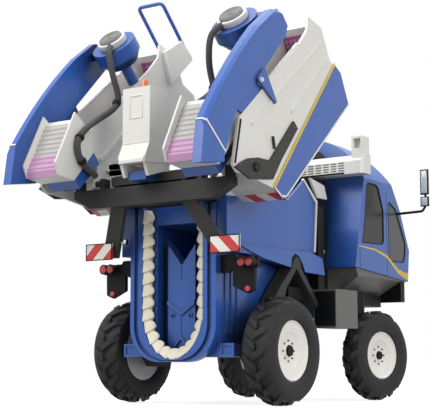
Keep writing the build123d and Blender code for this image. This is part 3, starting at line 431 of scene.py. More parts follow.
class Bench:
    """Collects the shapes of one piece in a mesh and turns them into an object."""

    def __init__(self) -> None:
        """Start with an empty mesh."""
        self.bm = bmesh.new()

    def _round(self, verts: Iterable[bmesh.types.BMVert], bevel: float, segments: int = 2) -> None:
        """Bevel all edges of some vertices.

        Args:
            verts: Vertices whose edges are bevelled.
            bevel: Width in millimetres, or 0 for none.
            segments: Steps of the bevel.
        """
        if bevel:
            edges = list({edge for vert in verts for edge in vert.link_edges})
            bmesh.ops.bevel(self.bm, geom=edges, offset=bevel * MM, offset_type="OFFSET", affect="EDGES",
                            segments=segments, profile=0.5, material=-1)

    def box(self, low: Vector, high: Vector, bevel: float = 0.0, turn: Matrix | None = None) -> None:
        """Add a box between two corners.

        Args:
            low: Lowest corner in metres.
            high: Highest corner in metres.
            bevel: Edge bevel in millimetres.
            turn: Matrix applied to the box.
        """
        verts = bmesh.ops.create_cube(self.bm, size=1.0)["verts"]
        bmesh.ops.scale(self.bm, vec=high - low, verts=verts)
        bmesh.ops.translate(self.bm, vec=(low + high) / 2, verts=verts)
        if turn:
            bmesh.ops.transform(self.bm, matrix=turn, verts=verts)
        self._round(verts, bevel)

    def disc(self, centre: Vector, axis: Vector, size: Point, segments: int, bevel: float = 0.0) -> None:
        """Add a round boss that stands on a point.

        Args:
            centre: Middle of the foot, in metres.
            axis: Direction in which it stands.
            size: Radius of the foot, radius of the top and height, in millimetres.
            segments: Sides of the round.
            bevel: Edge bevel in millimetres.
        """
        foot, top, depth = size
        aim = axis.normalized()
        turn = aim.to_track_quat("Z", "Y").to_matrix().to_4x4()
        place = Matrix.Translation(centre + aim * depth * MM / 2) @ turn
        verts = bmesh.ops.create_cone(
            self.bm, cap_ends=True, cap_tris=False, segments=segments, radius1=foot * MM, radius2=top * MM,
            depth=depth * MM, matrix=place)["verts"]
        self._round(verts, bevel)

    def spun(self, section: Sequence[Point], place: Matrix, steps: int) -> None:
        """Spin a closed section round an axis.

        Args:
            section: Places along the axis and radii, in millimetres.
            place: Where the axis lies, along the matrix's X.
            steps: Steps of a full turn.
        """
        ring = [self.bm.verts.new((x * MM, 0, r * MM)) for x, r in section]
        edges = [self.bm.edges.new((ring[i - 1], ring[i])) for i in range(len(ring))]
        old = set(self.bm.verts) - set(ring)
        bmesh.ops.spin(self.bm, geom=ring + edges, cent=(0, 0, 0), axis=(1, 0, 0), angle=2 * pi, steps=steps,
                       use_merge=True, use_normal_flip=False, use_duplicate=False)
        bmesh.ops.transform(self.bm, matrix=place, verts=[vert for vert in self.bm.verts if vert not in old])

    def rim(self, outline: Sequence[Vector], width: float, thick: Vector) -> None:
        """Add a flat frame along the inside of an outline.

        Args:
            outline: Outer corners, in metres.
            width: Width of the frame in millimetres.
            thick: How far it stands up.
        """
        face = self.bm.faces.new([self.bm.verts.new(point) for point in outline])
        face.normal_update()
        ring = bmesh.ops.inset_region(self.bm, faces=[face], thickness=width * MM, use_boundary=True,
                                      use_even_offset=True)["faces"]
        bmesh.ops.delete(self.bm, geom=[face], context="FACES_ONLY")
        grown = bmesh.ops.extrude_face_region(self.bm, geom=ring, use_keep_orig=True)["geom"]
        moved = [item for item in grown if isinstance(item, bmesh.types.BMVert)]
        bmesh.ops.translate(self.bm, vec=thick, verts=moved)

    def plate(self, outline: Sequence[Vector], thick: Vector, bevel: float = 0.0) -> None:
        """Add a flat plate.

        Args:
            outline: Corners of one face, in metres.
            thick: From that face to the other one.
            bevel: Edge bevel in millimetres.
        """
        face = self.bm.faces.new([self.bm.verts.new(point) for point in outline])
        grown = bmesh.ops.extrude_face_region(self.bm, geom=[face])["geom"]
        moved = [item for item in grown if isinstance(item, bmesh.types.BMVert)]
        bmesh.ops.translate(self.bm, vec=thick, verts=moved)
        self._round(list(face.verts) + moved, bevel, segments=1)

    def strip(self, route: Sequence[Vector], wide: Vector, thick: Vector) -> None:
        """Add a flat strip along a route.

        Args:
            route: Points along one long edge, in metres.
            wide: From that edge to the other one.
            thick: How far it stands up.
        """
        self.plate([*route, *[point + wide for point in reversed(route)]], thick)

    def piece(self, name: str, body: str, finish: Finish, smooth_deg: float = 35.0) -> bpy.types.Object:
        """Finish the mesh as an object that rides on a body.

        Args:
            name: Name of the piece.
            body: Body that carries it.
            finish: Its surface.
            smooth_deg: Edges flatter than this shade smoothly.

        Returns:
            The object.
        """
        bmesh.ops.remove_doubles(self.bm, verts=self.bm.verts, dist=1e-7)
        bmesh.ops.recalc_face_normals(self.bm, faces=self.bm.faces)
        for face in self.bm.faces:
            face.smooth = True
        for edge in self.bm.edges:
            edge.smooth = edge.is_manifold and edge.calc_face_angle(0.0) < radians(smooth_deg)
        mesh = bpy.data.meshes.new(name)
        self.bm.to_mesh(mesh)
        self.bm.free()
        mesh.materials.append(finish.material())
        made = bpy.data.objects.new(name, mesh)
        bpy.context.scene.collection.objects.link(made)
        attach(made, body)
        log.info("%s rides on %s, %d faces", name, body, len(mesh.polygons))
        return made


def tube_piece(name: str, body: str, route: Sequence[Vector], radius: float,
               finish: Finish) -> bpy.types.Object:
    """Round tube along a smooth line through a route.

    Args:
        name: Name of the piece.
        body: Body that carries it.
        route: Control points in metres.
        radius: Radius in millimetres.
        finish: Its surface.

    Returns:
        The object.
    """
    curve = bpy.data.curves.new(name + "_line", "CURVE")
    curve.dimensions = "3D"
    curve.bevel_depth = radius * MM
    curve.bevel_resolution = 4
    curve.use_fill_caps = True
    curve.resolution_u = 10
    spline = curve.splines.new("NURBS")
    spline.points.add(len(route) - 1)
    for point, place in zip(spline.points, route):
        point.co = (*place, 1.0)
    spline.order_u = 3
    spline.use_endpoint_u = True
    line = bpy.data.objects.new(name + "_line", curve)
    bpy.context.scene.collection.objects.link(line)
    mesh = bpy.data.meshes.new_from_object(line.evaluated_get(bpy.context.evaluated_depsgraph_get()))
    bpy.data.objects.remove(line)
    bench = Bench()
    bench.bm.from_mesh(mesh)
    bpy.data.meshes.remove(mesh)
    return bench.piece(name, body, finish, smooth_deg=50.0)


@dataclass
class Wheel:
    """A wheel: vinyl tyre with two rows of lugs, dished rim, hub cap, bolts and a pale disc at the back.

    Attributes:
        end: Front or rear, as the nodes name it.
        side: Side of the machine.
        radius: Over the lugs.
        width: Of the tyre.
        rim_radius: Where the tyre meets the rim.
        cap_radius: Dark cap on the hub.
        bolt_circle: Radius of the ring of bolts.
        bulge_share: Where the wall is widest, as a share of the way from rim to tread.
        wall_inset: From that place to the tyre's full width.
        wall_steps: Steps of the wall's curve.
        shoulder: Insets from the tyre's side and drops below the tread.
        lug_slant: Degrees between a lug and the axle.
        lug_overlap: How far a lug passes the middle, as a share of the width.
        lug_clear: From a lug's top to the radius.
        lug_root: Depth of a lug's foot in the tread.
        lug_inset: From a lug's end to the tyre's side.
        lug_waist: How much narrower a lug is at the middle.
        lug_flare: How much wider it gets towards the shoulder.
        lug_crest: Degrees past which a lug's edge is bevelled.
        drop_start: Share of a lug's length at which it starts to drop.
        shoulder_drop: How far its end drops.
        rim_share: Half the rim's width, as a share of the tyre's.
        rim_lip: Width of the rim's flat edge.
        rim_round: Rounding of the lip and the hub.
        rim_groove: Depth of the groove inside the lip.
        bolt_size: Radius of a bolt's foot, radius of its top and its height.
        back_inset: From the pale disc's edge to the rim's.
    """

    end: str
    side: Side
    radius: float
    width: float
    rim_radius: float
    cap_radius: float
    bolt_circle: float
    bulge_share: float = 0.48
    wall_inset: float = 0.25
    wall_steps: int = 8
    shoulder: tuple[Point, ...] = ((0.35, 2.2), (0.9, 0.9), (2.2, 0.25), (4.0, 0.0))
    lug_count: int = 16
    lug_height: float = 1.4
    lug_width: float = 3.2
    lug_slant: float = 35.0
    lug_overlap: float = 0.02
    lug_clear: float = 0.05
    lug_root: float = 0.9
    lug_inset: float = 0.6
    lug_waist: float = 0.5
    lug_flare: float = 0.3
    lug_bevel: float = 0.25
    lug_crest: float = 50.0
    drop_start: float = 0.62
    shoulder_drop: float = 2.7
    dish_depth: float = 2.5
    hub_radius: float = 2.9
    hub_rise: float = 0.7
    rim_share: float = 0.36
    rim_lip: float = 0.9
    rim_chamfer: float = 0.3
    rim_round: float = 0.2
    rim_groove: float = 0.15
    bore: float = 1.65
    cap_rise: float = 0.8
    cap_taper: float = 0.25
    bolts: int = 8
    bolt_size: Point = (0.42, 0.34, 0.5)
    bolt_sink: float = 0.1
    back_inset: float = 1.4
    back_thick: float = 0.25
    back_gap: float = 0.05

    def __post_init__(self) -> None:
        """Take the wheel's place from its joint."""
        entry = joint(f"{self.end}_{self.side.word}_spin")
        aim = Vector(entry["axis"]).normalized() * self.side.value
        across = UPWARD.cross(aim) * self.side.value
        turn = Matrix((aim, across, UPWARD)).transposed().to_4x4()
        self.place = Matrix.Translation(Vector(entry["pos_m"])) @ turn
        self.body = f"wheel_{self.end}_{self.side.word}"

    def name(self, word: str) -> str:
        """Piece or node name with the wheel's end and side."""
        return f"{word}_{self.end}_{self.side.word}"

    def build(self) -> None:
        """Make the tyre, the rim and the rim's fittings."""
        self._tyre()
        self._rim()
        self._fittings()

    def _section(self) -> list[tuple[float, float]]:
        """Closed cross-section of the carcass.

        Returns:
            Places across the tyre and radii.
        """
        half, carcass = self.width / 2, self.radius - self.lug_height
        bead = self.rim_share * self.width
        reach = half - self.wall_inset - bead
        bulge = self.rim_radius + self.bulge_share * (carcass - self.rim_radius)
        wall = [(bead, self.rim_radius)]
        for step in range(1, self.wall_steps + 1):
            turn = pi / 2 * step / self.wall_steps
            wall.append((bead + reach * sin(turn), bulge - (bulge - self.rim_radius) * cos(turn)))
        wall += [(half - inset, carcass - drop) for inset, drop in self.shoulder]
        return wall + [(-x, r) for x, r in reversed(wall)]

    def _tyre(self) -> None:
        """Spin the carcass and set the lugs round it."""
        bench = Bench()
        bench.spun(self._section(), Matrix.Identity(4), steps=96)
        for row in (1, -1):
            self._lugs(bench.bm, row)
        bmesh.ops.transform(bench.bm, matrix=self.place, verts=bench.bm.verts)
        node = self.name("tyre")
        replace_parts(bench.piece(f"{node}_vinyl", self.body, VINYL, smooth_deg=28.0), node)

    def _rim(self) -> None:
        """Spin the dished disc in place of the many-sided solid."""
        barrel, edge = self.rim_share * self.width, self.rim_radius
        floor, lip = barrel - self.dish_depth, self.rim_radius - self.rim_lip
        crown, hub = floor + self.hub_rise, self.hub_radius
        slope, middle = (barrel + floor) / 2, (lip + hub) / 2
        chamfer, soft, groove = self.rim_chamfer, self.rim_round, self.rim_groove
        section = (
            (-barrel, self.bore), (-barrel, edge), (barrel - chamfer, edge), (barrel, edge - chamfer),
            (barrel, lip + soft), (barrel - chamfer, lip), (barrel - chamfer - soft, lip - groove),
            (slope + groove, middle + chamfer), (slope - soft, middle), (floor, hub + groove),
            (crown - soft, hub), (crown, hub - soft), (crown, self.bore))
        bench = Bench()
        bench.spun(section, self.place, steps=72)
        node = self.name("rim")
        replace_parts(bench.piece(f"{node}_disc", self.body, CREAM, smooth_deg=30.0), node)

    def _lugs(self, bm: bmesh.types.BMesh, row: int) -> None:
        """Add a row of bevelled lugs that drop over the shoulder.

        Args:
            bm: Mesh of the tyre.
            row: 1 for the outer row, -1 for the inner one.
        """
        half, overlap = self.width / 2, self.lug_overlap * self.width
        top, base = self.radius - self.lug_clear, self.radius - self.lug_height - self.lug_root
        slope = tan(radians(self.lug_slant))
        lug = bmesh.new()
        bmesh.ops.create_cube(lug, size=1.0)
        along = [edge for edge in lug.edges if abs(edge.verts[0].co.x - edge.verts[1].co.x) > 0.5]
        bmesh.ops.subdivide_edges(lug, edges=along, cuts=3)
        for vert in lug.verts:
            share = vert.co.x + 0.5
            x = -overlap + (half - self.lug_inset + overlap) * share
            wide = self.lug_width - self.lug_waist + self.lug_flare * share
            y = vert.co.y * wide + (x - half / 2) * slope
            drop = self.shoulder_drop * max(0.0, share - self.drop_start) / (1 - self.drop_start)
            z = (top if vert.co.z > 0 else base) - drop - y * y / (2 * self.radius)
            vert.co = Vector((row * x * MM, y * MM, z * MM))
        sharp = [edge for edge in lug.edges if edge.calc_face_angle(0.0) > radians(self.lug_crest)]
        bmesh.ops.bevel(lug, geom=sharp, offset=self.lug_bevel * MM, offset_type="OFFSET", affect="EDGES",
                        segments=2, profile=0.5, material=-1, clamp_overlap=True)
        # The bevel may push a corner outwards, so no vertex stays above the lug's top
        for vert in lug.verts:
            shrink = min(1.0, top * MM / hypot(vert.co.y, vert.co.z))
            vert.co = Vector((vert.co.x, vert.co.y * shrink, vert.co.z * shrink))
        step = 2 * pi / self.lug_count
        stagger = Matrix.Rotation((1 - row) * step / 4, 3, "X")
        bmesh.ops.rotate(lug, verts=lug.verts, cent=(0, 0, 0), matrix=stagger)
        bmesh.ops.spin(lug, geom=[*lug.verts, *lug.edges, *lug.faces], cent=(0, 0, 0), axis=(1, 0, 0),
                       angle=2 * pi - step, steps=self.lug_count - 1, use_duplicate=True)
        row_mesh = bpy.data.meshes.new("lug_row")
        lug.to_mesh(row_mesh)
        lug.free()
        bm.from_mesh(row_mesh)
        bpy.data.meshes.remove(row_mesh)

    def _fittings(self) -> None:
        """Hub cap and bolts on the dish, and the pale disc on the rim's back."""
        barrel = self.rim_share * self.width
        crown = barrel - self.dish_depth + self.hub_rise
        aim = self.place.to_3x3() @ RIGHTWARD
        cap = Bench()
        cap.disc(self.place @ Vector((crown * MM, 0, 0)), aim,
                 (self.cap_radius, self.cap_radius - self.cap_taper, self.cap_rise), segments=28)
        cap.piece(self.name("hub_cap"), self.body, BLACK_AND_SHADE)
        ring = Bench()
        rise = (self.bolt_circle - self.hub_radius) / (self.rim_radius - self.rim_lip - self.hub_radius)
        seat = barrel - self.dish_depth * (1 - rise) - self.bolt_sink
        circle = self.bolt_circle * MM
        for number in range(self.bolts):
            turn = 2 * pi * number / self.bolts
            foot = self.place @ Vector((seat * MM, circle * cos(turn), circle * sin(turn)))
            ring.disc(foot, aim, self.bolt_size, segments=8)
        ring.piece(self.name("wheel_bolts"), self.body, GREY)
        back = Bench()
        radius = self.rim_radius - self.back_inset
        back.disc(self.place @ Vector(((-barrel - self.back_gap) * MM, 0, 0)), -aim,
                  (radius, radius, self.back_thick), segments=48)
        back.piece(self.name("wheel_back"), self.body, SILVER)


@dataclass
class Hopper:
    """A tipping hopper's prints, rivets, seams, hose, guard, fan and bin trim.

    A place on a wall is given as s and h, and a size of a boss as the radius of its foot, the radius of its
    top and its height.

    Attributes:
        side: Side of the machine.
        outer: X of the bin's outer wall.
        inner: X of the bin's inner wall.
        duct_outer: X of the duct's outer face.
        duct_inner: X of the duct's inner face.
        band_thick: How far the blue band stands out.
        bracket_thick: How far the pivot bracket stands out.
        stripe_edge: Lower edge of the yellow stripe.
        stripe_step: From that edge to the upper one.
        line_route: White line round the band's low corner.
        rivets: On the pivot bracket.
        lever_at: Foot of the small lever on the bracket.
        plate_x: The striped plate's sides.
        plate_ends: Its upper and lower ends.
        plate_step: Through its thickness.
        seam_route: Seam down the outlet's outer face.
        seam_top: Seam over the outlet's top.
        seam_ends: How far that seam stops short of the inner and outer faces.
        seam_corner: X from the outer face, s and h of the seam round the corner.
        knob_at: Knob on the strut.
        hose_route: Control points of the hose.
        clamps: Where the clamps sit and which way the hose runs there.
        guard_route: Control points of the left hopper's guard tube.
        ear_corners: Plate that carries the guard tube.
        fan_foot: Height of the fan ring's foot.
        volute_foot: Height of the volute's underside.
        grille_radii: Ribs of the fan's grille.
        rim_edge: Lower edge of the bright strip along the bin.
        gasket_edge: Upper edge of the dark line at the bin's rear.
        fold_span: Where the folds of the inner wall start and end, as s.
        fold_fall: How far they fall on the way.
        wall_lap: How deep a piece starts in the inner wall.
    """

    side: Side
    outer: float = 46.0
    inner: float = 27.6
    duct_outer: float = 46.2
    duct_inner: float = 42.3
    band_thick: float = 0.5
    bracket_thick: float = 1.0
    stripe_edge: tuple[Point, ...] = ((5.2, -14.0), (78.1, -7.4))
    stripe_step: Point = (0.2, 1.1)
    stripe_sink: float = 0.3
    stripe_thick: float = 0.35
    line_route: tuple[Point, ...] = ((5.2, -14.0), (6.6, -19.0), (9.6, -21.5), (75.6, -25.5))
    line_width: float = 0.7
    line_thick: float = 0.08
    rivets: tuple[Point, ...] = (
        (-7.4, 6.6), (-4.2, 5.2), (-1.0, 3.2), (2.6, 0.6), (5.6, -2.6), (12, -5.4), (17, -5.6), (22, -5.6),
        (27, -5.6), (32, -5.4), (-3.2, -0.6), (0.4, -3.6), (4.2, -7.2), (9.6, -8.6))
    rivet_size: Point = (0.36, 0.22, 0.22)
    rivet_sink: float = 0.05
    cap_size: Point = (1.9, 1.7, 0.7)
    cap_sink: float = 0.1
    lever_at: Point = (15.5, -3.4)
    lever_half: float = 0.45
    lever_long: float = 4.8
    lever_lean: float = 14.0
    lever_sink: float = 0.4
    plate_x: Point = (31, 45.2)
    plate_ends: tuple[Point, Point] = ((6.5, -16.8), (8.7, -21.4))
    plate_step: Point = (-0.36, -0.18)
    seam_route: tuple[Point, ...] = ((-12.6, 30.3), (-11.2, 15.4))
    seam_top: Point = (-12.9, 30.75)
    seam_ends: Point = (0.2, 1.15)
    seam_corner: tuple[Point, ...] = ((-1.3, -12.9, 30.8), (0, -12.7, 29.5))
    seam_width: float = 0.75
    seam_thick: float = 0.15
    seam_lift: Point = (-0.05, 0.2)
    corner_thick: float = 0.1
    duct_rivets: tuple[Point, ...] = (
        (38, 33.6), (41.6, 33.4), (45.2, 33.0), (48.8, 32.4), (38.6, 25), (42.4, 24.6), (30, 33.8))
    duct_rivet_size: Point = (0.34, 0.2, 0.2)
    knob_at: Point = (25.6, 20.6)
    knob_size: Point = (1.15, 0.7, 0.9)
    knob_gap: float = 0.9
    hose_radius: float = 1.25
    hose_route: tuple[Point, ...] = (
        (27.6, 45.6, 35.6), (26.2, 42.6, 36), (24.6, 38.8, 34.8), (23.4, 33.6, 28.2), (22.8, 31.4, 22.6),
        (23.3, 29.2, 18.4), (23.6, 23.6, 18.4), (23.6, 14, 21), (23.6, 5, 22.6), (23.6, -1.6, 22.2),
        (23.6, -5, 17.6), (23.6, -4.8, 12), (23.6, -3, 7.6), (24, -2, 5.4))
    clamps: tuple[tuple[Point, Point], ...] = (
        ((28.4, 18.9), (0.9, 0.3)), ((0.6, 22.1), (1, -0.1)), ((-4.7, 14.6), (-0.1, 1)))
    clamp_x: float = 23.6
    clamp_radius: float = 1.75
    clamp_half: float = 0.9
    guard_radius: float = 0.8
    guard_route: tuple[Point, ...] = (
        (28.8, 77.8, 3), (26.7, 79.4, 3), (26.5, 83.4, 3), (26.5, 87.5, 3), (26.5, 87.5, 7.1),
        (26.5, 87.5, 26.9), (26.5, 87.5, 31), (30.6, 87.5, 31), (35.4, 87.5, 31), (39.5, 87.5, 31),
        (39.5, 87.5, 26.9), (39.5, 87.5, 7.1), (39.5, 87.5, 3), (39.5, 83.4, 3), (39.5, 77.8, 3))
    ear_corners: tuple[Point, ...] = ((67, 2.2), (87.6, 1.4), (88.2, 3.0), (86.8, 12.2), (73, 15.2))
    ear_thick: float = 2.5
    fan_x: float = 29.8
    fan_s: float = 50.5
    fan_foot: float = 34.0
    volute_foot: float = 28.5
    ring_radius: float = 6.1
    ring_height: float = 2.6
    screen_radius: float = 5.1
    screen_taper: float = 0.3
    screen_height: float = 0.9
    bowl_size: Point = (9.1, 6.4, 4.2)
    bowl_lap: float = 0.05
    grille_radii: tuple[float, ...] = (1.2, 2.4, 3.6, 4.5)
    grille_boss: Point = (0.7, 0.5, 0.3)
    grille_sink: float = 0.1
    rib_rise: float = 0.22
    rib_wide: float = 0.3
    rim_edge: tuple[Point, ...] = ((9, 18.1), (60.7, 14.1))
    rim_step: Point = (0.06, 0.7)
    rim_inset: float = 1.5
    rim_thick: float = 1.2
    gasket_edge: tuple[Point, ...] = ((-9.0, 8.9), (5.2, 17.8))
    gasket_step: Point = (0.42, -0.66)
    gasket_gap: float = 0.02
    gasket_thick: float = 0.3
    fold_heights: tuple[float, ...] = (-7.0, -1.0, 5.0)
    fold_span: Point = (8, 56)
    fold_fall: float = 2.0
    fold_width: float = 1.6
    fold_thick: float = 0.8
    wall_lap: float = 0.1

    def __post_init__(self) -> None:
        """Name the body that carries the hopper and the way outwards."""
        self.body = f"hopper_{self.side.word}"
        self.out = Vector((self.side.value * MM, 0, 0))

    def at(self, x: float, s: float, h: float) -> Vector:
        """Point of this hopper, X outwards from the machine's middle."""
        return tipped(self.side.value * x, s, h)

    def way(self, s: float, h: float) -> Vector:
        """Step along this hopper's walls."""
        return self.at(0, s, h) - self.at(0, 0, 0)

    def name(self, word: str) -> str:
        """Piece or node name with the side."""
        return f"{word}_{self.side.word}"

    def build(self) -> None:
        """Make every piece of the hopper."""
        self._prints()
        self._bracket()
        self._duct()
        self._hose()
        if self.side is Side.LEFT:
            self._guard()
        self._clamps()
        self._fan()
        self._bin()

    def _trim(self, word: str, x: float, edge: Iterable[Point], step: Point, thick: float,
              finish: Finish) -> None:
        """Add a strip on an outer wall as a piece.

        Args:
            word: Name of the piece, without the side.
            x: X of the strip's foot.
            edge: Places along one long edge.
            step: From that edge to the other one.
            thick: How far it stands out.
            finish: Its surface.
        """
        bench = Bench()
        bench.strip([self.at(x, s, h) for s, h in edge], self.way(*step), self.out * thick)
        bench.piece(self.name(word), self.body, finish)

    def _studs(self, word: str, face: float, places: Iterable[Point], size: Point, finish: Finish) -> None:
        """Add a group of rivets as a piece.

        Args:
            word: Name of the piece, without the side.
            face: X of the wall they stand on.
            places: Where they stand.
            size: Size of each.
            finish: Their surface.
        """
        bench = Bench()
        for s, h in places:
            bench.disc(self.at(face - self.rivet_sink, s, h), self.out, size, segments=10)
        bench.piece(self.name(word), self.body, finish)

    def _prints(self) -> None:
        """Yellow stripe over the blue band and the white line round the band's low corner."""
        face = self.outer + self.band_thick
        self._trim("yellow_stripe", face - self.stripe_sink, self.stripe_edge, self.stripe_step,
                   self.stripe_thick, YELLOW)
        line = Bench()
        for (s0, h0), (s1, h1) in zip(self.line_route, self.line_route[1:]):
            across = Vector((s1 - s0, h1 - h0)).normalized()
            wide = self.way(-across.y * self.line_width, across.x * self.line_width)
            line.strip([self.at(face, s0, h0), self.at(face, s1, h1)], wide, self.out * self.line_thick)
        line.piece(self.name("band_line"), self.body, WHITE_INK)

    def _bracket(self) -> None:
        """Rivets, dark pivot hole, lever and the striped plate below."""
        face = self.outer + self.bracket_thick
        self._studs("bracket_rivets", face, self.rivets, self.rivet_size, GREY)
        hole = Bench()
        hole.disc(self.at(face - self.cap_sink, 0, 0), self.out, self.cap_size, segments=28)
        hole.piece(self.name("pivot_cap"), self.body, BLACK_AND_SHADE)
        lever = Bench()
        half = self.lever_half
        foot = Matrix.Translation(self.at(face - self.lever_sink, *self.lever_at))
        lever.box(Vector((-half, -half, 0)) * MM, Vector((half, half, self.lever_long)) * MM, bevel=0.2,
                  turn=foot @ Matrix.Rotation(radians(self.lever_lean), 4, "X"))
        lever.piece(self.name("bracket_lever"), self.body, CHARCOAL)
        plate = Bench()
        near, far = self.plate_x
        upper, lower = self.plate_ends
        corners = ((near, upper), (far, upper), (far, lower), (near, lower))
        plate.plate([self.at(x, *place) for x, place in corners], self.way(*self.plate_step))
        plate.piece(self.name("striped_plate"), self.body, STRIPES)

    def _duct(self) -> None:
        """White seam round the outlet, rivets by the fan and the strut's knob."""
        face = self.duct_outer
        step, lift = self.way(self.seam_width, 0), self.way(*self.seam_lift)
        near, far = self.seam_ends
        seam = Bench()
        seam.strip([self.at(face, s, h) for s, h in self.seam_route], step, self.out * self.seam_thick)
        seam.strip([self.at(x, *self.seam_top) for x in (self.duct_inner + near, face - far)], step, lift)
        seam.strip([self.at(face + x, s, h) for x, s, h in self.seam_corner], step,
                   lift + self.out * self.corner_thick)
        seam.piece(self.name("outlet_seam"), self.body, WHITE_INK)
        self._studs("duct_rivets", face, self.duct_rivets, self.duct_rivet_size, BLUE)
        ball = Bench()
        ball.disc(self.at(face + self.knob_gap, *self.knob_at), self.out, self.knob_size, segments=20,
                  bevel=0.15)
        ball.piece(self.name("strut_knob"), self.body, WHITE)

    def _hose(self) -> None:
        """Smooth hose in place of the faceted solid."""
        route = [self.at(*point) for point in self.hose_route]
        hose = tube_piece(self.name("hydraulic_hose"), self.body, route, self.hose_radius, RUBBER)
        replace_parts(hose, self.name("hose"))

    def _guard(self) -> None:
        """Smooth guard tube in place of the left hopper's solid, and the ear plate that carries it."""
        route = [self.at(*point) for point in self.guard_route]
        guard = tube_piece("guard_tube", self.body, route, self.guard_radius, BLUE)
        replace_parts(guard, "guard_rail_left")
        ear = Bench()
        ear.plate([self.at(self.inner + self.wall_lap, s, h) for s, h in self.ear_corners],
                  self.out * -self.ear_thick, bevel=0.3)
        ear.piece("guard_ear", self.body, WHITE)

    def _clamps(self) -> None:
        """Round clamps along the hose."""
        clamps = Bench()
        size = (self.clamp_radius, self.clamp_radius, 2 * self.clamp_half)
        for place, ahead in self.clamps:
            aim = self.way(*ahead)
            foot = self.at(self.clamp_x, *place) - aim.normalized() * self.clamp_half * MM
            clamps.disc(foot, aim, size, segments=18, bevel=0.25)
        clamps.piece(self.name("hose_clamps"), self.body, BLACK_AND_SHADE)

    def _fan(self) -> None:
        """Round ring and screen in place of the many-sided ones, the bowl below and a ribbed grille."""
        up = self.way(0, 1)
        top = self.fan_foot + self.ring_height
        ring = Bench()
        ring.disc(self.at(self.fan_x, self.fan_s, self.fan_foot), up,
                  (self.ring_radius, self.ring_radius, self.ring_height), segments=64, bevel=0.35)
        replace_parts(ring.piece(self.name("fan_ring_round"), self.body, WHITE), self.name("fan_ring"))
        screen = Bench()
        screen.disc(self.at(self.fan_x, self.fan_s, top), up,
                    (self.screen_radius, self.screen_radius - self.screen_taper, self.screen_height),
                    segments=64, bevel=0.12)
        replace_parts(screen.piece(self.name("fan_screen_round"), self.body, NYLON), self.name("fan_screen"))
        bowl = Bench()
        bowl.disc(self.at(self.fan_x, self.fan_s, self.volute_foot + self.bowl_lap), -up, self.bowl_size,
                  segments=64, bevel=0.6)
        bowl.piece(self.name("fan_bowl"), self.body, BLUE)
        grille = Bench()
        crown = self.at(self.fan_x, self.fan_s, top + self.screen_height - self.grille_sink)
        turn = up.normalized().to_track_quat("Z", "Y").to_matrix().to_4x4()
        axis = Matrix.Translation(crown) @ turn @ Matrix.Rotation(-pi / 2, 4, "Y")
        for outside in self.grille_radii:
            inside = outside - self.rib_wide
            grille.spun(((0, outside), (self.rib_rise, outside), (self.rib_rise, inside), (0, inside)), axis,
                        steps=48)
        grille.disc(crown, up, self.grille_boss, segments=24)
        grille.piece(self.name("fan_grille"), self.body, NYLON)

    def _bin(self) -> None:
        """Bright strip along the bin's upper edge, gasket line at its rear and folds of its inner wall."""
        self._trim("bin_rim", self.outer - self.rim_inset, self.rim_edge, self.rim_step,
                   self.rim_thick, WHITE)
        self._trim("bin_gasket", self.outer + self.gasket_gap, self.gasket_edge, self.gasket_step,
                   self.gasket_thick, BLACK_AND_SHADE)
        folds = Bench()
        wall = self.inner + self.wall_lap
        start, end = self.fold_span
        for h in self.fold_heights:
            folds.strip([self.at(wall, start, h), self.at(wall, end, h - self.fold_fall)],
                        self.way(0, self.fold_width), self.out * -self.fold_thick)
        folds.piece(self.name("bin_folds"), self.body, WHITE)


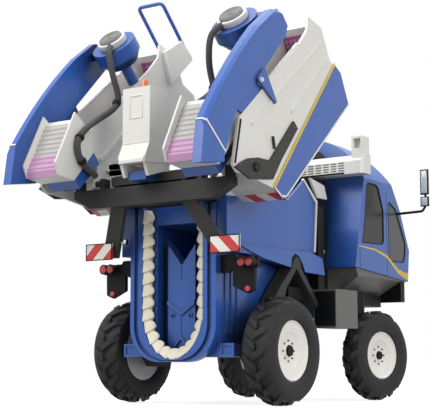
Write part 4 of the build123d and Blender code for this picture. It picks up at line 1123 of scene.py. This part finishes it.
@dataclass
class RearEnd:
    """Marker boards, lamps, hood, tunnel panel, pipes and conveyor scales on the chassis.

    A size of a boss is the radius of its foot, the radius of its top and its height.

    Attributes:
        edge_width: Width of the dark frame round a marker board.
        pin_at: X, station and Z of the pin that holds the arm's knob.
        lamps: X of the lamps on each side.
        bezel_span: Where a bezel starts, turns in and ends, from the lamp's foot.
        frame_bars: Opposite corners, X and Z, of the raised frame's bars on the hood.
        beacon_section: Heights and radii of the beacon's lens.
        seam_spans: Lowest and highest Z of the panel's seams.
        tray_x: Inner and outer side of the fills in the flank trays.
        strip_half: Half the length of the dark strip behind the beam.
        belt_least: Smallest X of the belt's inner edge, where the two sides meet.
        foot_z: Where the conveyor leaves its straight run.
        foot_rise: Half height of the ellipse that it follows from there.
        foot_turns: Degrees round that ellipse, for each scale.
        facing_lead: Degrees by which a scale's facing runs ahead of its place.
        fin: Outline of a scale, inwards and onwards from its foot.
        scale_yaw: Degrees by which a scale turns forward.
        scale_lean: Degrees by which its end leans back.
    """

    board_inner: float = 23.4
    board_width: float = 13.4
    board_station: float = -30.2
    board_z: float = 59.7
    board_height: float = 6.6
    edge_width: float = 0.35
    edge_rise: float = 0.12
    edge_sink: float = 0.3
    pin_at: Point = (-20.9, -28.2, 63.2)
    pin_size: Point = (0.5, 0.5, 2.6)
    knob_at: Point = (-18.4, -27.4, 63.2)
    knob_size: Point = (1.2, 1.0, 1.6)
    lamp_z: float = 53.5
    lamp_station: float = -21.3
    lamp_radius: float = 1.6
    lamps: tuple[float, float] = (31.5, 35.0)
    lens_rise: float = 0.6
    lens_taper: float = 0.15
    bezel_wide: float = 0.4
    bezel_gap: float = 0.02
    bezel_round: float = 0.15
    bezel_span: Point = (-0.4, 0.3, 0.42)
    plate_station: float = -18.5
    plate_lap: float = 0.05
    reflector_x: float = 32.6
    reflector_z: float = 43.7
    reflector_size: Point = (1.15, 1.0, 0.5)
    hood_face: float = -45.0
    frame_bars: tuple[tuple[Point, Point], ...] = (
        ((-3.2, 108), (-2.7, 116)), ((2.7, 108), (3.2, 116)), ((-3.2, 107.5), (3.2, 108)),
        ((-3.2, 116), (3.2, 116.5)))
    frame_rise: float = 0.25
    frame_sink: float = 0.2
    crease_half: float = 6.3
    crease_z: Point = (98.0, 98.35)
    crease_rise: float = 0.2
    crease_sink: float = 0.4
    beacon_station: float = -40.0
    beacon_z: float = 119.5
    beacon_section: tuple[Point, ...] = (
        (0, 0.05), (0, 1.9), (1.2, 1.9), (1.2, 1.6), (3.4, 1.3), (3.7, 1.1), (3.8, 0.7), (3.8, 0.05))
    base_z: float = 119.4
    base_size: Point = (2.3, 2.1, 0.9)
    panel_face: float = -15.7
    screw_x: float = 4.2
    screw_z: float = 34.4
    screw_size: Point = (0.62, 0.55, 0.2)
    screw_rise: float = 0.25
    seat_z: float = 34.6
    seat_size: Point = (1.3, 1.1, 0.45)
    seat_sink: float = 0.1
    seam_half: float = 0.1
    seam_rise: float = 0.06
    seam_sink: float = 0.2
    seam_spans: tuple[Point, ...] = ((48.5, 53.6), (27, 33.6))
    tray_x: Point = (18.0, 25.4)
    tray_stations: Point = (-18.1, -8.6)
    tray_z: Point = (19.2, 22.9)
    pipe_x: float = -20.4
    pipe_station: float = -35.4
    pipe_heights: tuple[float, ...] = (89.6, 92.0)
    pipe_size: Point = (1.1, 1.1, 12.0)
    strip_half: float = 21.4
    strip_stations: Point = (-31.6, -30.4)
    strip_z: Point = (83.0, 89.0)
    belt_half: float = 14.4
    belt_station: float = -18.5
    belt_width: float = 2.2
    belt_thick: float = 2.0
    belt_least: float = 0.1
    scale_station: float = -20.5
    scale_heights: tuple[float, ...] = (76.0, 71.2, 66.4, 61.6, 56.8, 52.0, 47.2, 42.4, 37.6)
    scale_thick: float = 1.1
    scale_yaw: float = 24.0
    scale_lean: float = 8.0
    foot_z: float = 36.0
    foot_rise: float = 18.3
    foot_turns: tuple[float, ...] = (10.0, 26.0, 42.0, 58.0, 73.0)
    facing_lead: float = 8.0
    fin: tuple[Point, ...] = (
        (0, 0), (1.6, 0.1), (3.0, 0.8), (4.0, 2.0), (4.4, 3.3), (4.1, 4.2), (3.0, 4.7), (1.6, 5.3), (0, 5.6))

    def build(self) -> None:
        """Make every piece of the rear end."""
        self._boards()
        self._lamps()
        self._hood()
        self._panel()
        self._tray_fills()
        self._pipes()
        self._scales()

    def _boards(self) -> None:
        """Dark frames round the marker boards and the bright knob by the left board's arm."""
        edge = Bench()
        low_z, high_z = self.board_z - self.board_height / 2, self.board_z + self.board_height / 2
        y0, y1 = self.board_station - self.edge_rise, self.board_station + self.edge_sink
        wide = self.edge_width
        for side in Side:
            low_x, high_x = side.span(self.board_inner, self.board_inner + self.board_width)
            for (x0, z0), (x1, z1) in (
                    ((low_x, low_z), (high_x, low_z + wide)), ((low_x, high_z - wide), (high_x, high_z)),
                    ((low_x, low_z), (low_x + wide, high_z)), ((high_x - wide, low_z), (high_x, high_z))):
                edge.box(spot(x0, y0, z0), spot(x1, y1, z1))
        edge.piece("board_frames", "chassis", BLACK_AND_SHADE)
        knob = Bench()
        knob.disc(spot(*self.pin_at), RIGHTWARD, self.pin_size, segments=16)
        knob.disc(spot(*self.knob_at), BACKWARD, self.knob_size, segments=24, bevel=0.3)
        knob.piece("arm_knob", "chassis", NICKEL)

    def _lamps(self) -> None:
        """Round lenses in place of the many-sided ones, their bezels and the red reflectors."""
        lenses, bezels, reflectors = Bench(), Bench(), Bench()
        rise = Matrix.Rotation(-pi / 2, 4, "Z")
        lens_size = (self.lamp_radius, self.lamp_radius - self.lens_taper, self.lens_rise)
        outer, inner = self.lamp_radius + self.bezel_wide, self.lamp_radius + self.bezel_gap
        start, turn, end = self.bezel_span
        section = ((start, outer), (turn, outer), (end, outer - self.bezel_round), (end, inner),
                   (start, inner))
        for side in Side:
            for x in self.lamps:
                foot = spot(side.value * x, self.lamp_station, self.lamp_z)
                lenses.disc(foot, BACKWARD, lens_size, segments=40, bevel=0.12)
                bezels.spun(section, Matrix.Translation(foot) @ rise, steps=40)
            place = spot(side.value * self.reflector_x, self.plate_station + self.plate_lap, self.reflector_z)
            reflectors.disc(place, BACKWARD, self.reflector_size, segments=32, bevel=0.1)
        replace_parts(lenses.piece("lamp_lenses", "chassis", RED), "tail_lamps")
        bezels.piece("lamp_bezels", "chassis", BLACK_AND_SHADE)
        reflectors.piece("plate_reflectors", "chassis", RED)

    def _hood(self) -> None:
        """Raised frame, crease and dark beacon base on the centre hood, and the round beacon."""
        emboss = Bench()
        face = self.hood_face
        for (x0, z0), (x1, z1) in self.frame_bars:
            emboss.box(spot(x0, face - self.frame_rise, z0), spot(x1, face + self.frame_sink, z1), bevel=0.1)
        low_z, high_z = self.crease_z
        emboss.box(spot(-self.crease_half, face - self.crease_rise, low_z),
                   spot(self.crease_half, face + self.crease_sink, high_z), bevel=0.08)
        emboss.piece("hood_emboss", "chassis", WHITE)
        base = Bench()
        base.disc(spot(0, self.beacon_station, self.base_z), UPWARD, self.base_size, segments=28, bevel=0.15)
        base.piece("beacon_base", "chassis", BLACK_AND_SHADE)
        lens = Bench()
        foot = Matrix.Translation(spot(0, self.beacon_station, self.beacon_z))
        lens.spun(self.beacon_section, foot @ Matrix.Rotation(-pi / 2, 4, "Y"), steps=40)
        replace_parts(lens.piece("beacon_lens", "chassis", AMBER), "beacon")

    def _panel(self) -> None:
        """Screw seats, screws and the middle seam of the tunnel's panel."""
        face = self.panel_face
        screws, seats, seam = Bench(), Bench(), Bench()
        for x in (-self.screw_x, self.screw_x):
            seats.disc(spot(x, face + self.seat_sink, self.seat_z), BACKWARD, self.seat_size, segments=24)
            screws.disc(spot(x, face - self.screw_rise, self.screw_z), BACKWARD, self.screw_size, segments=20)
        seats.piece("screw_seats", "chassis", BLUE)
        screws.piece("panel_screws", "chassis", BLACK_AND_SHADE)
        for low, high in self.seam_spans:
            seam.box(spot(-self.seam_half, face - self.seam_rise, low),
                     spot(self.seam_half, face + self.seam_sink, high))
        seam.piece("panel_seam", "chassis", BLACK_AND_SHADE)

    def _tray_fills(self) -> None:
        """Closed ends of the trays low on the head's flanks."""
        fills = Bench()
        rear, front = self.tray_stations
        low_z, high_z = self.tray_z
        for side in Side:
            low_x, high_x = side.span(*self.tray_x)
            fills.box(spot(low_x, rear, low_z), spot(high_x, front, high_z))
        fills.piece("tray_fills", "chassis", BLUE)

    def _pipes(self) -> None:
        """Two short pipes and a dark strip behind the beam."""
        pipes = Bench()
        for z in self.pipe_heights:
            pipes.disc(spot(self.pipe_x, self.pipe_station, z), RIGHTWARD, self.pipe_size, segments=24,
                       bevel=0.3)
        rear, front = self.strip_stations
        low_z, high_z = self.strip_z
        pipes.box(spot(-self.strip_half, rear, low_z), spot(self.strip_half, front, high_z), bevel=0.3)
        pipes.piece("beam_pipes", "chassis", BLACK_AND_SHADE)

    def _scale_rows(self) -> list[tuple[float, float, float]]:
        """Places of one conveyor's scales, down the straight run and round the foot.

        Returns:
            X, Z and the angle by which each scale's inward side turns up.
        """
        rows = [(self.belt_half, z, 0.0) for z in self.scale_heights]
        for degrees in self.foot_turns:
            turn, ahead = radians(degrees), radians(min(degrees + self.facing_lead, 90.0))
            rows.append((self.belt_half * cos(turn), self.foot_z - self.foot_rise * sin(turn),
                         atan2(self.belt_half * sin(ahead), self.foot_rise * cos(ahead))))
        return rows

    def _scales(self) -> None:
        """Curved conveyor scales on a narrow belt, in place of the plainer solids."""
        rows = self._scale_rows()
        lean, yaw = radians(self.scale_lean), radians(self.scale_yaw)
        inner = [(max(x - self.belt_width * cos(facing), self.belt_least), z + self.belt_width * sin(facing))
                 for x, z, facing in rows]
        for side in Side:
            scales = Bench()
            for x, z, facing in rows:
                inward = Vector((-side.value * cos(facing), 0, sin(facing)))
                onward = Vector((-side.value * sin(facing), 0, -cos(facing)))
                u = inward * cos(yaw) + Vector((0, sin(yaw), 0))
                w = onward * cos(lean) - Vector((0, sin(lean), 0))
                foot = spot(side.value * x, self.scale_station, z)
                scales.plate([foot + (u * a + w * b) * MM for a, b in self.fin],
                             Vector((0, -self.scale_thick * MM, 0)), bevel=0.2)
            for (x0, z0, _), (x1, z1, _), near, far in zip(rows, rows[1:], inner, inner[1:]):
                corners = ((x0, z0), (x1, z1), far, near)
                scales.plate([spot(side.value * x, self.belt_station, z) for x, z in corners],
                             Vector((0, -self.belt_thick * MM, 0)))
            node = f"noria_{side.word}"
            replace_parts(scales.piece(f"{node}_scales", "chassis", STRAW), node)


@dataclass
class CabTrim:
    """Prints, seams, window strips, slots and mirror glass of the cab, and trim of the bay behind it.

    Attributes:
        half: X of the cab's side.
        nose: Station of the cab's front.
        swoosh_upper: Station and Z along the yellow line's upper edge.
        swoosh_lower: The same along its lower edge.
        door_gaps: Station, lowest and highest Z of each gap.
        windows: Distance behind the nose and Z of each side window's corners.
        slot_rows: Rows of cooling slots in the intake's rear face.
        slot_columns: Columns of slots on each side of the middle.
        slot_pitch: From slot to slot, across and up.
        gap_half: Half the length of the dark gap below the slots.
        gap_z: Its lower and upper edge above the intake's bottom.
        mirror_back: How far the mirrors' rear faces lie behind the nose.
        mirror_z: Lowest and highest Z of each glass.
        bay_x: X of the bay's flank behind the cab.
        guard_corners: Station and Z of the white guard's corners.
        plate_x: Inner and outer side of the near-black sheets of painted shade on the side boxes' rear faces.
    """

    half: float = 34.0
    nose: float = 117.1
    swoosh_upper: tuple[Point, ...] = (
        (67.5, 66.7), (82.5, 66.3), (94.2, 64.3), (105, 58.8), (112.2, 57.4), (115.2, 57.6))
    swoosh_lower: tuple[Point, ...] = (
        (67.5, 66.2), (82.5, 65.5), (94.2, 62.9), (105, 56.6), (112.2, 54.6), (115.2, 54.2))
    ink_thick: float = 0.06
    door_gaps: tuple[Point, ...] = ((94.1, 55.0, 92.5), (68.2, 57.0, 66.0))
    gap_width: float = 0.3
    gap_depth: float = 0.3
    gap_rise: float = 0.03
    windows: tuple[tuple[Point, ...], ...] = (
        ((46.6, 68), (43.6, 82), (41.9, 94), (40.6, 95.4), (32.5, 95.4), (30.0, 94), (25.6, 84), (25.6, 70.4),
         (27.4, 68.6)),
        ((21.1, 63), (21.1, 88), (19.6, 89), (13.6, 86.4), (12.2, 85), (3.7, 71.4), (3.6, 69.6), (4.2, 64.6),
         (6, 62), (19.6, 61.5)))
    strip_width: float = 0.5
    strip_sink: float = 0.32
    strip_thick: float = 0.36
    intake_rear: float = 62.5
    intake_bottom: float = 97.5
    slot_rows: int = 4
    slot_columns: int = 8
    slot_pitch: Point = (3.8, 1.1)
    slot_half: float = 1.4
    slot_height: float = 0.55
    slot_start: float = 1.4
    slot_rise: float = 0.04
    dark_rise: float = 0.05
    slot_sink: float = 0.2
    gap_half: float = 30.0
    gap_z: Point = (0.1, 0.9)
    mirror_x: float = 48.2
    mirror_width: float = 3.8
    mirror_edge: float = 0.4
    mirror_back: float = 12.8
    mirror_z: tuple[Point, ...] = ((92.6, 102.9), (87.0, 90.6))
    glass_rise: float = 0.15
    glass_sink: float = 0.2
    bay_x: float = 18.9
    guard_corners: tuple[Point, ...] = ((50.1, 95.3), (62.3, 93.3), (64.7, 87.3), (56, 87.2))
    guard_thick: float = 1.3
    knobs_at: tuple[Point, ...] = ((58.4, 78.7), (59.8, 64.0))
    knob_size: Point = (1.3, 1.1, 1.8)
    # Near-black sheets of painted shade on the side boxes' rear faces, which lie in shadow
    plate_x: Point = (25.6, 35.2)
    plate_stations: Point = (43.2, 43.7)
    plate_z: Point = (31.4, 45.8)

    def build(self) -> None:
        """Make every piece of the cab's trim."""
        self._swoosh()
        self._seams()
        self._gaskets()
        self._slots()
        self._mirrors()
        self._bay()

    def _swoosh(self) -> None:
        """Yellow line that widens as it falls to the nose."""
        upper, lower = self.swoosh_upper, self.swoosh_lower
        line = Bench()
        for side in Side:
            x = side.value * self.half
            for corners in zip(upper, upper[1:], lower[1:], lower):
                line.plate([spot(x, *corner) for corner in corners],
                           Vector((side.value * self.ink_thick * MM, 0, 0)))
        line.piece("cab_swoosh", "chassis", YELLOW)

    def _seams(self) -> None:
        """Dark door gaps beside the pillar."""
        seam = Bench()
        for side in Side:
            low_x, high_x = side.span(self.half - self.gap_depth, self.half + self.gap_rise)
            for station, low, high in self.door_gaps:
                seam.box(spot(low_x, station, low), spot(high_x, station + self.gap_width, high))
        seam.piece("door_seams", "chassis", BLACK_AND_SHADE)

    def _gaskets(self) -> None:
        """Black rubber strips round the side windows."""
        strips = Bench()
        for side in Side:
            x = side.value * (self.half - self.strip_sink)
            for outline in self.windows:
                strips.rim([spot(x, self.nose - back, z) for back, z in outline], self.strip_width,
                           Vector((side.value * self.strip_thick * MM, 0, 0)))
        strips.piece("window_gaskets", "chassis", BLACK_AND_SHADE)

    def _slots(self) -> None:
        """Rows of cooling slots in the intake's rear face, with a dark gap below."""
        slots = Bench()
        front = self.intake_rear + self.slot_sink
        across, up = self.slot_pitch
        for column in range(-self.slot_columns, self.slot_columns):
            for row in range(self.slot_rows):
                x, z = column * across + across / 2, self.intake_bottom + self.slot_start + row * up
                slots.box(spot(x - self.slot_half, self.intake_rear - self.slot_rise, z),
                          spot(x + self.slot_half, front, z + self.slot_height))
        slots.piece("intake_slots", "chassis", GREY)
        gap = Bench()
        low, high = self.gap_z
        gap.box(spot(-self.gap_half, self.intake_rear - self.dark_rise, self.intake_bottom + low),
                spot(self.gap_half, front, self.intake_bottom + high))
        gap.piece("intake_gap", "chassis", BLACK_AND_SHADE)

    def _mirrors(self) -> None:
        """Pale glass on the mirrors' rear faces."""
        glass = Bench()
        half = self.mirror_width / 2 - self.mirror_edge
        station = self.nose - self.mirror_back
        for side in Side:
            middle = side.value * self.mirror_x
            for low, high in self.mirror_z:
                glass.box(spot(middle - half, station - self.glass_rise, low),
                          spot(middle + half, station + self.glass_sink, high), bevel=0.1)
        glass.piece("mirror_glass", "chassis", SILVERED)

    def _bay(self) -> None:
        """White guard and knobs in the bay behind the cab, and painted shade on the side boxes' rear faces.
        """
        guard, knobs, plates = Bench(), Bench(), Bench()
        rear, front = self.plate_stations
        low_z, high_z = self.plate_z
        for side in Side:
            x = side.value * self.bay_x
            out = Vector((side.value * MM, 0, 0))
            guard.plate([spot(x, *corner) for corner in self.guard_corners], out * self.guard_thick,
                        bevel=0.2)
            for place in self.knobs_at:
                knobs.disc(spot(x, *place), out, self.knob_size, segments=24, bevel=0.2)
            # Painted shade: a near-black sheet on the box's rear face, which lies in shadow
            low_x, high_x = side.span(*self.plate_x)
            plates.box(spot(low_x, rear, low_z), spot(high_x, front, high_z), bevel=0.15)
        guard.piece("bay_guard", "chassis", WHITE)
        knobs.piece("bay_knobs", "chassis", WHITE)
        plates.piece("box_plates", "chassis", BLACK_AND_SHADE)


@dataclass
class Studio:
    """Pale floor, soft light and the camera at the photo's angle.

    Attributes:
        lamps: Name, place, aim, size in millimetres and power of each soft box.
        floor_size: Half the floor's width in metres.
        floor_tone: sRGB hex of the floor as it lights the machine.
        paper_tone: sRGB hex of the floor as the camera sees it.
        floor_share: Share of plain glow in what the camera sees of the floor.
        floor_glow: Strength of that glow.
        sky_level: Strength of the surround as a light.
    """

    camera_at: tuple[float, float, float] = (274.541, -412.658, 16.847)
    yaw_deg: float = 34.8
    pitch_deg: float = 7.56
    focal_px: float = 1184.86
    lamps: tuple[tuple[str, Point, Point, float, float], ...] = (
        ("key_softbox", (-260, -620, 620), (0, 0, 90), 600, 5.6),
        ("fill_softbox", (760, -260, 150), (0, 0, 50), 500, 3.4),
        ("top_softbox", (0, 120, 800), (0, 0, 80), 700, 4.6),
    )
    floor_size: float = 6.0
    floor_tone: str = "#8C8C8A"
    paper_tone: str = "#F4F4F2"
    floor_share: float = 0.42
    floor_glow: float = 1.95
    sky_level: float = 0.38

    def build(self) -> None:
        """Set up floor, world, lamps, camera and view."""
        self._floor()
        self._world()
        self._lamps()
        self._camera()
        bpy.context.scene.view_settings.view_transform = "Standard"

    def _floor(self) -> None:
        """Pale matt floor that is near white to the camera and keeps a soft shadow."""
        bm = bmesh.new()
        bmesh.ops.create_grid(bm, x_segments=1, y_segments=1, size=self.floor_size)
        mesh = bpy.data.meshes.new("floor")
        bm.to_mesh(mesh)
        bm.free()
        floor = bpy.data.objects.new("floor", mesh)
        bpy.context.scene.collection.objects.link(floor)
        made = bpy.data.materials.new("pale_paper")
        made.use_nodes = True
        tree = made.node_tree
        tree.nodes.clear()
        path = add_node(tree, "ShaderNodeLightPath")
        seen = add_node(tree, "ShaderNodeMath", {"operation": "MAXIMUM"}, i0=path.outputs["Is Camera Ray"],
                        i1=path.outputs["Is Glossy Ray"])
        share = add_node(tree, "ShaderNodeMath", {"operation": "MULTIPLY"}, i0=seen.outputs[0],
                         i1=self.floor_share)
        tone = add_node(tree, "ShaderNodeMix", {"data_type": "RGBA"}, Factor=path.outputs["Is Camera Ray"],
                        i6=linear(self.floor_tone), i7=linear(self.paper_tone))
        matt = add_node(tree, "ShaderNodeBsdfDiffuse", Color=tone.outputs[2])
        glow = add_node(tree, "ShaderNodeEmission", Color=linear("#FFFFFF"), Strength=self.floor_glow)
        mix = add_node(tree, "ShaderNodeMixShader", i0=share.outputs[0], i1=matt.outputs[0],
                       i2=glow.outputs[0])
        add_node(tree, "ShaderNodeOutputMaterial", Surface=mix.outputs[0])
        mesh.materials.append(made)

    def _world(self) -> None:
        """Soft white surround, plain white to the camera."""
        world = bpy.data.worlds.new("studio")
        bpy.context.scene.world = world
        world.use_nodes = True
        tree = world.node_tree
        tree.nodes.clear()
        path = add_node(tree, "ShaderNodeLightPath")
        seen = add_node(tree, "ShaderNodeMath", {"operation": "MAXIMUM"}, i0=path.outputs["Is Camera Ray"],
                        i1=path.outputs["Is Glossy Ray"])
        level = add_node(tree, "ShaderNodeMapRange", Value=seen.outputs[0], To_Min=self.sky_level, To_Max=1.0)
        sky = add_node(tree, "ShaderNodeBackground", Color=linear("#FFFFFF"),
                       Strength=level.outputs["Result"])
        add_node(tree, "ShaderNodeOutputWorld", Surface=sky.outputs[0])

    def _lamps(self) -> None:
        """Large soft boxes aimed at the machine."""
        for name, place, aim, size, power in self.lamps:
            light = bpy.data.lights.new(name, "AREA")
            light.shape = "SQUARE"
            light.size = size * MM
            light.energy = power
            lamp = bpy.data.objects.new(name, light)
            lamp.location = Vector(place) * MM
            lamp.rotation_euler = (Vector(aim) - Vector(place)).to_track_quat("-Z", "Y").to_euler()
            bpy.context.scene.collection.objects.link(lamp)

    def _camera(self) -> None:
        """Camera at the photo's place, angle and focal length."""
        camera = bpy.data.cameras.new("camera")
        camera.sensor_width = SENSOR_MM
        camera.lens = self.focal_px * SENSOR_MM / PHOTO_WIDTH
        camera.clip_start = 0.01
        holder = bpy.data.objects.new("camera", camera)
        holder.location = Vector(self.camera_at) * MM
        holder.rotation_euler = (radians(90 + self.pitch_deg), 0, radians(self.yaw_deg))
        bpy.context.scene.collection.objects.link(holder)
        bpy.context.scene.camera = holder


def main() -> None:
    """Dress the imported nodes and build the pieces."""
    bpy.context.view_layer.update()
    dress_nodes()
    for side in Side:
        Wheel("rear", side, radius=20.76, width=13.7, rim_radius=11.6, cap_radius=2.25,
              bolt_circle=3.9).build()
        Wheel("front", side, radius=19.4, width=10.2, rim_radius=10.25, cap_radius=1.9,
              bolt_circle=3.7).build()
        Hopper(side).build()
    RearEnd().build()
    CabTrim().build()
    Studio().build()


if __name__ == "__main__":
    main()
